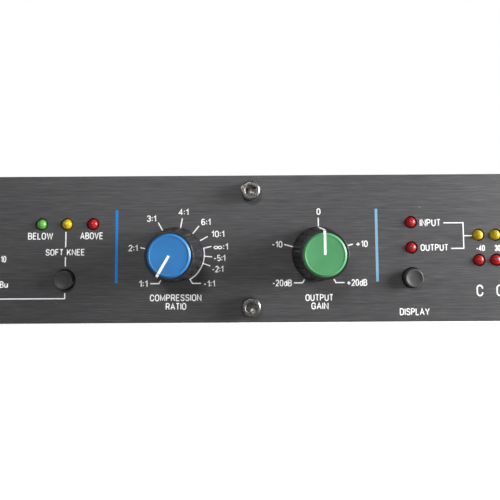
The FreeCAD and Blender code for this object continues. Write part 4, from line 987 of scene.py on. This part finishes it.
def make_legends():
    """Every word and line printed on the front panel, in millimetres from its middle."""
    ink = Legend("printed_legends", INK_WHITE)
    ratio = tuple(v / MM for v in KNOBS["ratio"])
    gain = tuple(v / MM for v in KNOBS["gain"])
    threshold = tuple(v / MM for v in KNOBS["threshold"])

    # compression ratio dial
    dial_end(ink, ratio, -1, "1:1", -33.3, -30.7)
    for degrees, inner, outer in ((-79, 9.3, 10.75), (-29, 8.0, 10.8), (10.3, 8.0, 10.9), (39.5, 8.0, 10.9),
                                  (61, 8.3, 10.9)):
        ink.stroke([polar(ratio, inner, degrees), polar(ratio, outer, degrees)])
    arc = [polar(ratio, 8.55, 78 + (150 - 78) * i / 24) for i in range(25)]
    ink.stroke([polar(ratio, 10.9, 77.7), *arc, (-17.37, -10.3), (-14.88, -10.3)])
    for degrees in (94, 108.5):
        ink.stroke([polar(ratio, 8.55, degrees), polar(ratio, 10.9, degrees)])
    for label, x0, x1, z in (
            ("2:1", -36.5, -33.75, 0.27), ("3:1", -31.1, -28.3, 9.0), ("4:1", -21.6, -18.6, 10.9),
            ("6:1", -14.8, -12.0, 7.9), ("10:1", -11.8, -7.9, 4.3), ("∞:1", -11.1, -6.8, 0.5),
            ("-5:1", -11.1, -7.6, -2.85), ("-2:1", -11.6, -8.2, -6.1), ("-1:1", -14.1, -10.7, -10.4)):
        ink.text(label, x0, x1, z - 0.97, z + 0.97)
    ink.text("COMPRESSION", -30.0, -14.7, -15.49, -13.47)
    ink.text("RATIO", -25.3, -19.2, -18.03, -16.0)

    # output gain dial
    ink.stroke([(gain[0], 9.0), (gain[0], 5.9)])
    ink.text("0", 19.75, 20.95, 9.85, 11.8)
    for side, label, x0, x1 in ((-1, "-10", 6.3, 9.44), (1, "+10", 31.3, 34.9)):
        ink.stroke([polar(gain, 7.6, 75 * side), polar(gain, 10.6, 75 * side)])
        ink.text(label, x0, x1, 0.15, 2.1)
    dial_end(ink, gain, -1, "-20dB", 6.35, 12.13)
    dial_end(ink, gain, 1, "+20dB", 28.4, 34.5)
    ink.text("OUTPUT", 16.08, 24.37, -15.68, -13.63)
    ink.text("GAIN", 17.8, 22.9, -18.1, -16.1)

    # threshold dial
    for degrees, label in ((-95, "-30"), (-50, "-20"), (0, "-10"), (50, "0"), (95, "+10")):
        ink.stroke([polar(threshold, 8.0, degrees), polar(threshold, 10.8, degrees)])
        spot = polar(threshold, 12.9, degrees)
        ink.word(label, spot[0] + 0.2 * math.sin(math.radians(degrees)) * len(label), spot[1])
    dial_end(ink, threshold, -1, "-40", -99.4, -96.0)
    dial_end(ink, threshold, 1, "+20dBu", -79.75, -72.2)
    ink.text("THRESHOLD", threshold[0] - 6.3, threshold[0] + 6.3, -15.6, -13.55)

    # lines and words of the detector lamps and the soft knee button
    knee = -55.25
    ink.stroke([(knee, 5.21), (knee, 0.59)])
    ink.stroke([(knee, -2.28), (knee, -5.03)])
    ink.stroke([(knee, -12.90), (knee, -14.55), (threshold[0] + 7.6, -14.55)])
    ink.text("BELOW", -66.57, -59.09, 2.93, 5.0)
    ink.text("ABOVE", -50.98, -44.13, 2.93, 5.0)
    ink.text("SOFT KNEE", -61.2, -49.5, -1.87, 0.09)

    # display block
    ink.text("INPUT", 50.55, 56.8, 6.22, 8.37)
    ink.text("OUTPUT", 50.6, 58.9, -1.12, 0.90)
    ink.text("DISPLAY", 43.9, 52.75, -19.99, -17.89)
    ink.stroke([(57.66, 7.22), (63.5, 7.22), (63.5, -0.40), (59.73, -0.40)])
    ink.stroke([(63.5, 3.35), (66.04, 3.35)])

    # meter
    top = [x / MM for x, _ in LAMPS["level_meter_lamps"]]
    for index, label in ((0, "-40"), (1, "30"), (2, "20"), (3, "15"), (4, "12"), (5, "10"), (7, "5"),
                         (9, "0"), (11, "+5"), (13, "10"), (15, "15"), (18, "20")):
        ink.word(label, top[index] + 0.5, -0.35, 1.83)
    ink.text("dBu", 162.6, 166.6, 2.7, 4.6)
    bottom = [x / MM for x, _ in LAMPS["reduction_meter_lamps"]]
    ink.word("dB GAIN REDUCTION", bottom[-1] + 3.2, -3.9, 1.9, -1)
    for index, letter in enumerate("COMPRESSOR"):
        left = 66.8 + index * 5.9
        ink.text(letter, left, left + 2.0, -14.58, -11.15, 0.42)

    # right-hand buttons
    for name, label in (("bypass", "BYPASS"), ("link", "LINK"), ("power", "POWER")):
        x = BUTTONS[name][0] / MM
        ink.word(label, x, -18.94, 2.05)
        ink.stroke([(x, -2.2), (x, -5.1)])
    ink.make()

    # The right line uses the paler blue, a painted reflection of glare on the same blue ink.
    for name, x, material in (("left", -40.05, INK_BLUE), ("right", 37.55, INK_BLUE_PAINTED_GLARE)):
        line = Legend("blue_divider_" + name, material)
        line.stroke([(x, 11.55), (x, -10.05)], 0.8)
        line.make()


def make_rear_legends():
    """Words above the rear connectors; x runs to the right as seen from behind."""
    ink = Legend("rear_legends", INK_WHITE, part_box("rear_panel")[1].y, "case_paint")
    for node, words, z in (
            ("mains_inlet", "MAINS", 15.6), ("fuse_holder", "FUSE", 11.6),
            ("lift_switch_frame", "GROUND LIFT", 7.6), ("input_socket_shell", "LINE INPUT", 18.2),
            ("output_plug_shell", "LINE OUTPUT", 18.2)):
        ink.word(words, -middle(node)[0] / MM, z, 2.1)
    mounts = frame["record"]["mounts"]
    jacks = [(m["name"], -m["pos_m"][0] / MM) for m in mounts if m["name"].endswith("_jack")]
    for name, x in jacks:
        ink.word(name.split("_")[0].upper(), x, 11.2, 2.1)
    first, last = min(x for _, x in jacks) - 8, max(x for _, x in jacks) + 8
    ink.stroke([(first, 13.2), (first, 15.0), (last, 15.0), (last, 13.2)], 0.3)
    ink.word("LINE", (first + last) / 2, 17.3, 2.1)
    ink.make()


def make_wear():
    """Small chips and rubs through the black surface, most of them round the rack slots."""
    marks = Legend("worn_chips", SCREW_METAL)
    spots = [(-58.6, -15.3, 0.9, -0.45), (-57.9, -15.9, 0.5, 0.2), (50.4, 11.9, 0.35, 0.1),
             (2.3, 21.2, 0.5, -0.2)]
    for _ in range(70):
        side = random.choice((-1, 1))
        spots.append((side * random.uniform(222, 240.5), random.choice((-1, 1)) * random.uniform(9.5, 21.3),
                      random.uniform(0.2, 1.6), random.uniform(-0.5, 0.5)))
    for _ in range(26):
        spots.append((random.uniform(-225, -95), random.uniform(-20, 21), random.uniform(0.15, 0.7),
                      random.uniform(-0.3, 0.3)))
    for x, z, length, rise in spots:
        if abs(abs(x) - SLOTS["spacing_x_mm"] / 2) < 6 and abs(abs(z) - SLOTS["spacing_y_mm"] / 2) < 4:
            continue
        middle_z = z + rise * random.uniform(0.1, 0.7)
        marks.stroke([(x, z), (x + length / 2, middle_z), (x + length, z + rise)],
                     random.uniform(0.10, 0.22))
    marks.make()


# ---- camera, light and floor ----

def make_camera():
    """Close in front of the panel, a little above its middle, tilted up."""
    data = bpy.data.cameras.new("camera")
    camera = bpy.data.objects.new("camera", data)
    LINK(camera)
    data.lens = 42.31
    data.sensor_width = 36
    data.shift_y = -0.12
    data.clip_start = 0.005
    data.dof.use_dof = False
    camera.location = (0.11 * MM, FACE_Y - 176.1 * MM, 2.68 * MM)
    tilt, pan, roll = math.radians(4.786), math.radians(0.08), math.radians(0.346)
    turn = Matrix.Rotation(pan, 4, "Z") @ Matrix.Rotation(math.pi / 2 + tilt, 4, "X")
    camera.rotation_euler = (turn @ Matrix.Rotation(-roll, 4, "Z")).to_euler()
    SCENE.camera = camera


def area_light(name, place, aim, size, power):
    data = bpy.data.lights.new(name, "AREA")
    data.shape = "RECTANGLE"
    data.size, data.size_y = size
    data.energy = power
    lamp = bpy.data.objects.new(name, data)
    LINK(lamp)
    lamp.location = place
    lamp.rotation_euler = (Vector(aim) - Vector(place)).to_track_quat("-Z", "Y").to_euler()


def make_studio():
    """Soft lights, a pale surround and a pale floor."""
    world = bpy.data.worlds.new("studio")
    SCENE.world = world
    world.use_nodes = True
    tree = world.node_tree
    ground = tree.nodes["Background"]
    ground.inputs["Color"].default_value = (1, 1, 1, 1)
    path = tree.nodes.new("ShaderNodeLightPath")
    level = tree.nodes.new("ShaderNodeMapRange")
    level.inputs["To Min"].default_value = 0.03
    level.inputs["To Max"].default_value = 1.0
    tree.links.new(path.outputs["Is Camera Ray"], level.inputs["Value"])
    tree.links.new(level.outputs["Result"], ground.inputs["Strength"])
    SCENE.view_settings.view_transform = "Standard"
    SCENE.view_settings.look = "None"
    area_light("key", (-0.10, -0.50, 0.24), (0.0, 0.0, 0.0), (0.16, 0.10), 0.88)
    area_light("far", (0.55, -0.16, 0.06), (0.10, 0.0, 0.0), (0.25, 0.35), 9.6)
    area_light("rear", (0.25, 0.85, 0.45), (0.0, 0.15, 0.0), (0.6, 0.4), 4.5)
    area_light("left", (-0.9, 0.25, 0.35), (-0.1, 0.1, 0.0), (0.4, 0.4), 4.0)
    mesh = bpy.data.meshes.new("floor")
    reach = 6.0
    low = CAD_BOX[0][2]
    corners = [(-reach, -reach, low), (reach, -reach, low), (reach, reach, low), (-reach, reach, low)]
    mesh.from_pydata(corners, [], [(0, 1, 2, 3)])
    mesh.materials.append(floor_paper())
    floor = bpy.data.objects.new("floor", mesh)
    LINK(floor)


make_camera()
make_studio()
make_panel()
for knob_name, spot in KNOBS.items():
    make_knob(knob_name, spot)
for button_name, spot in BUTTONS.items():
    make_button(button_name, spot)
for lamp_node in LAMP_NODES:
    make_lamps(lamp_node)
make_panel_screws()
make_legends()
make_rear_legends()
make_wear()
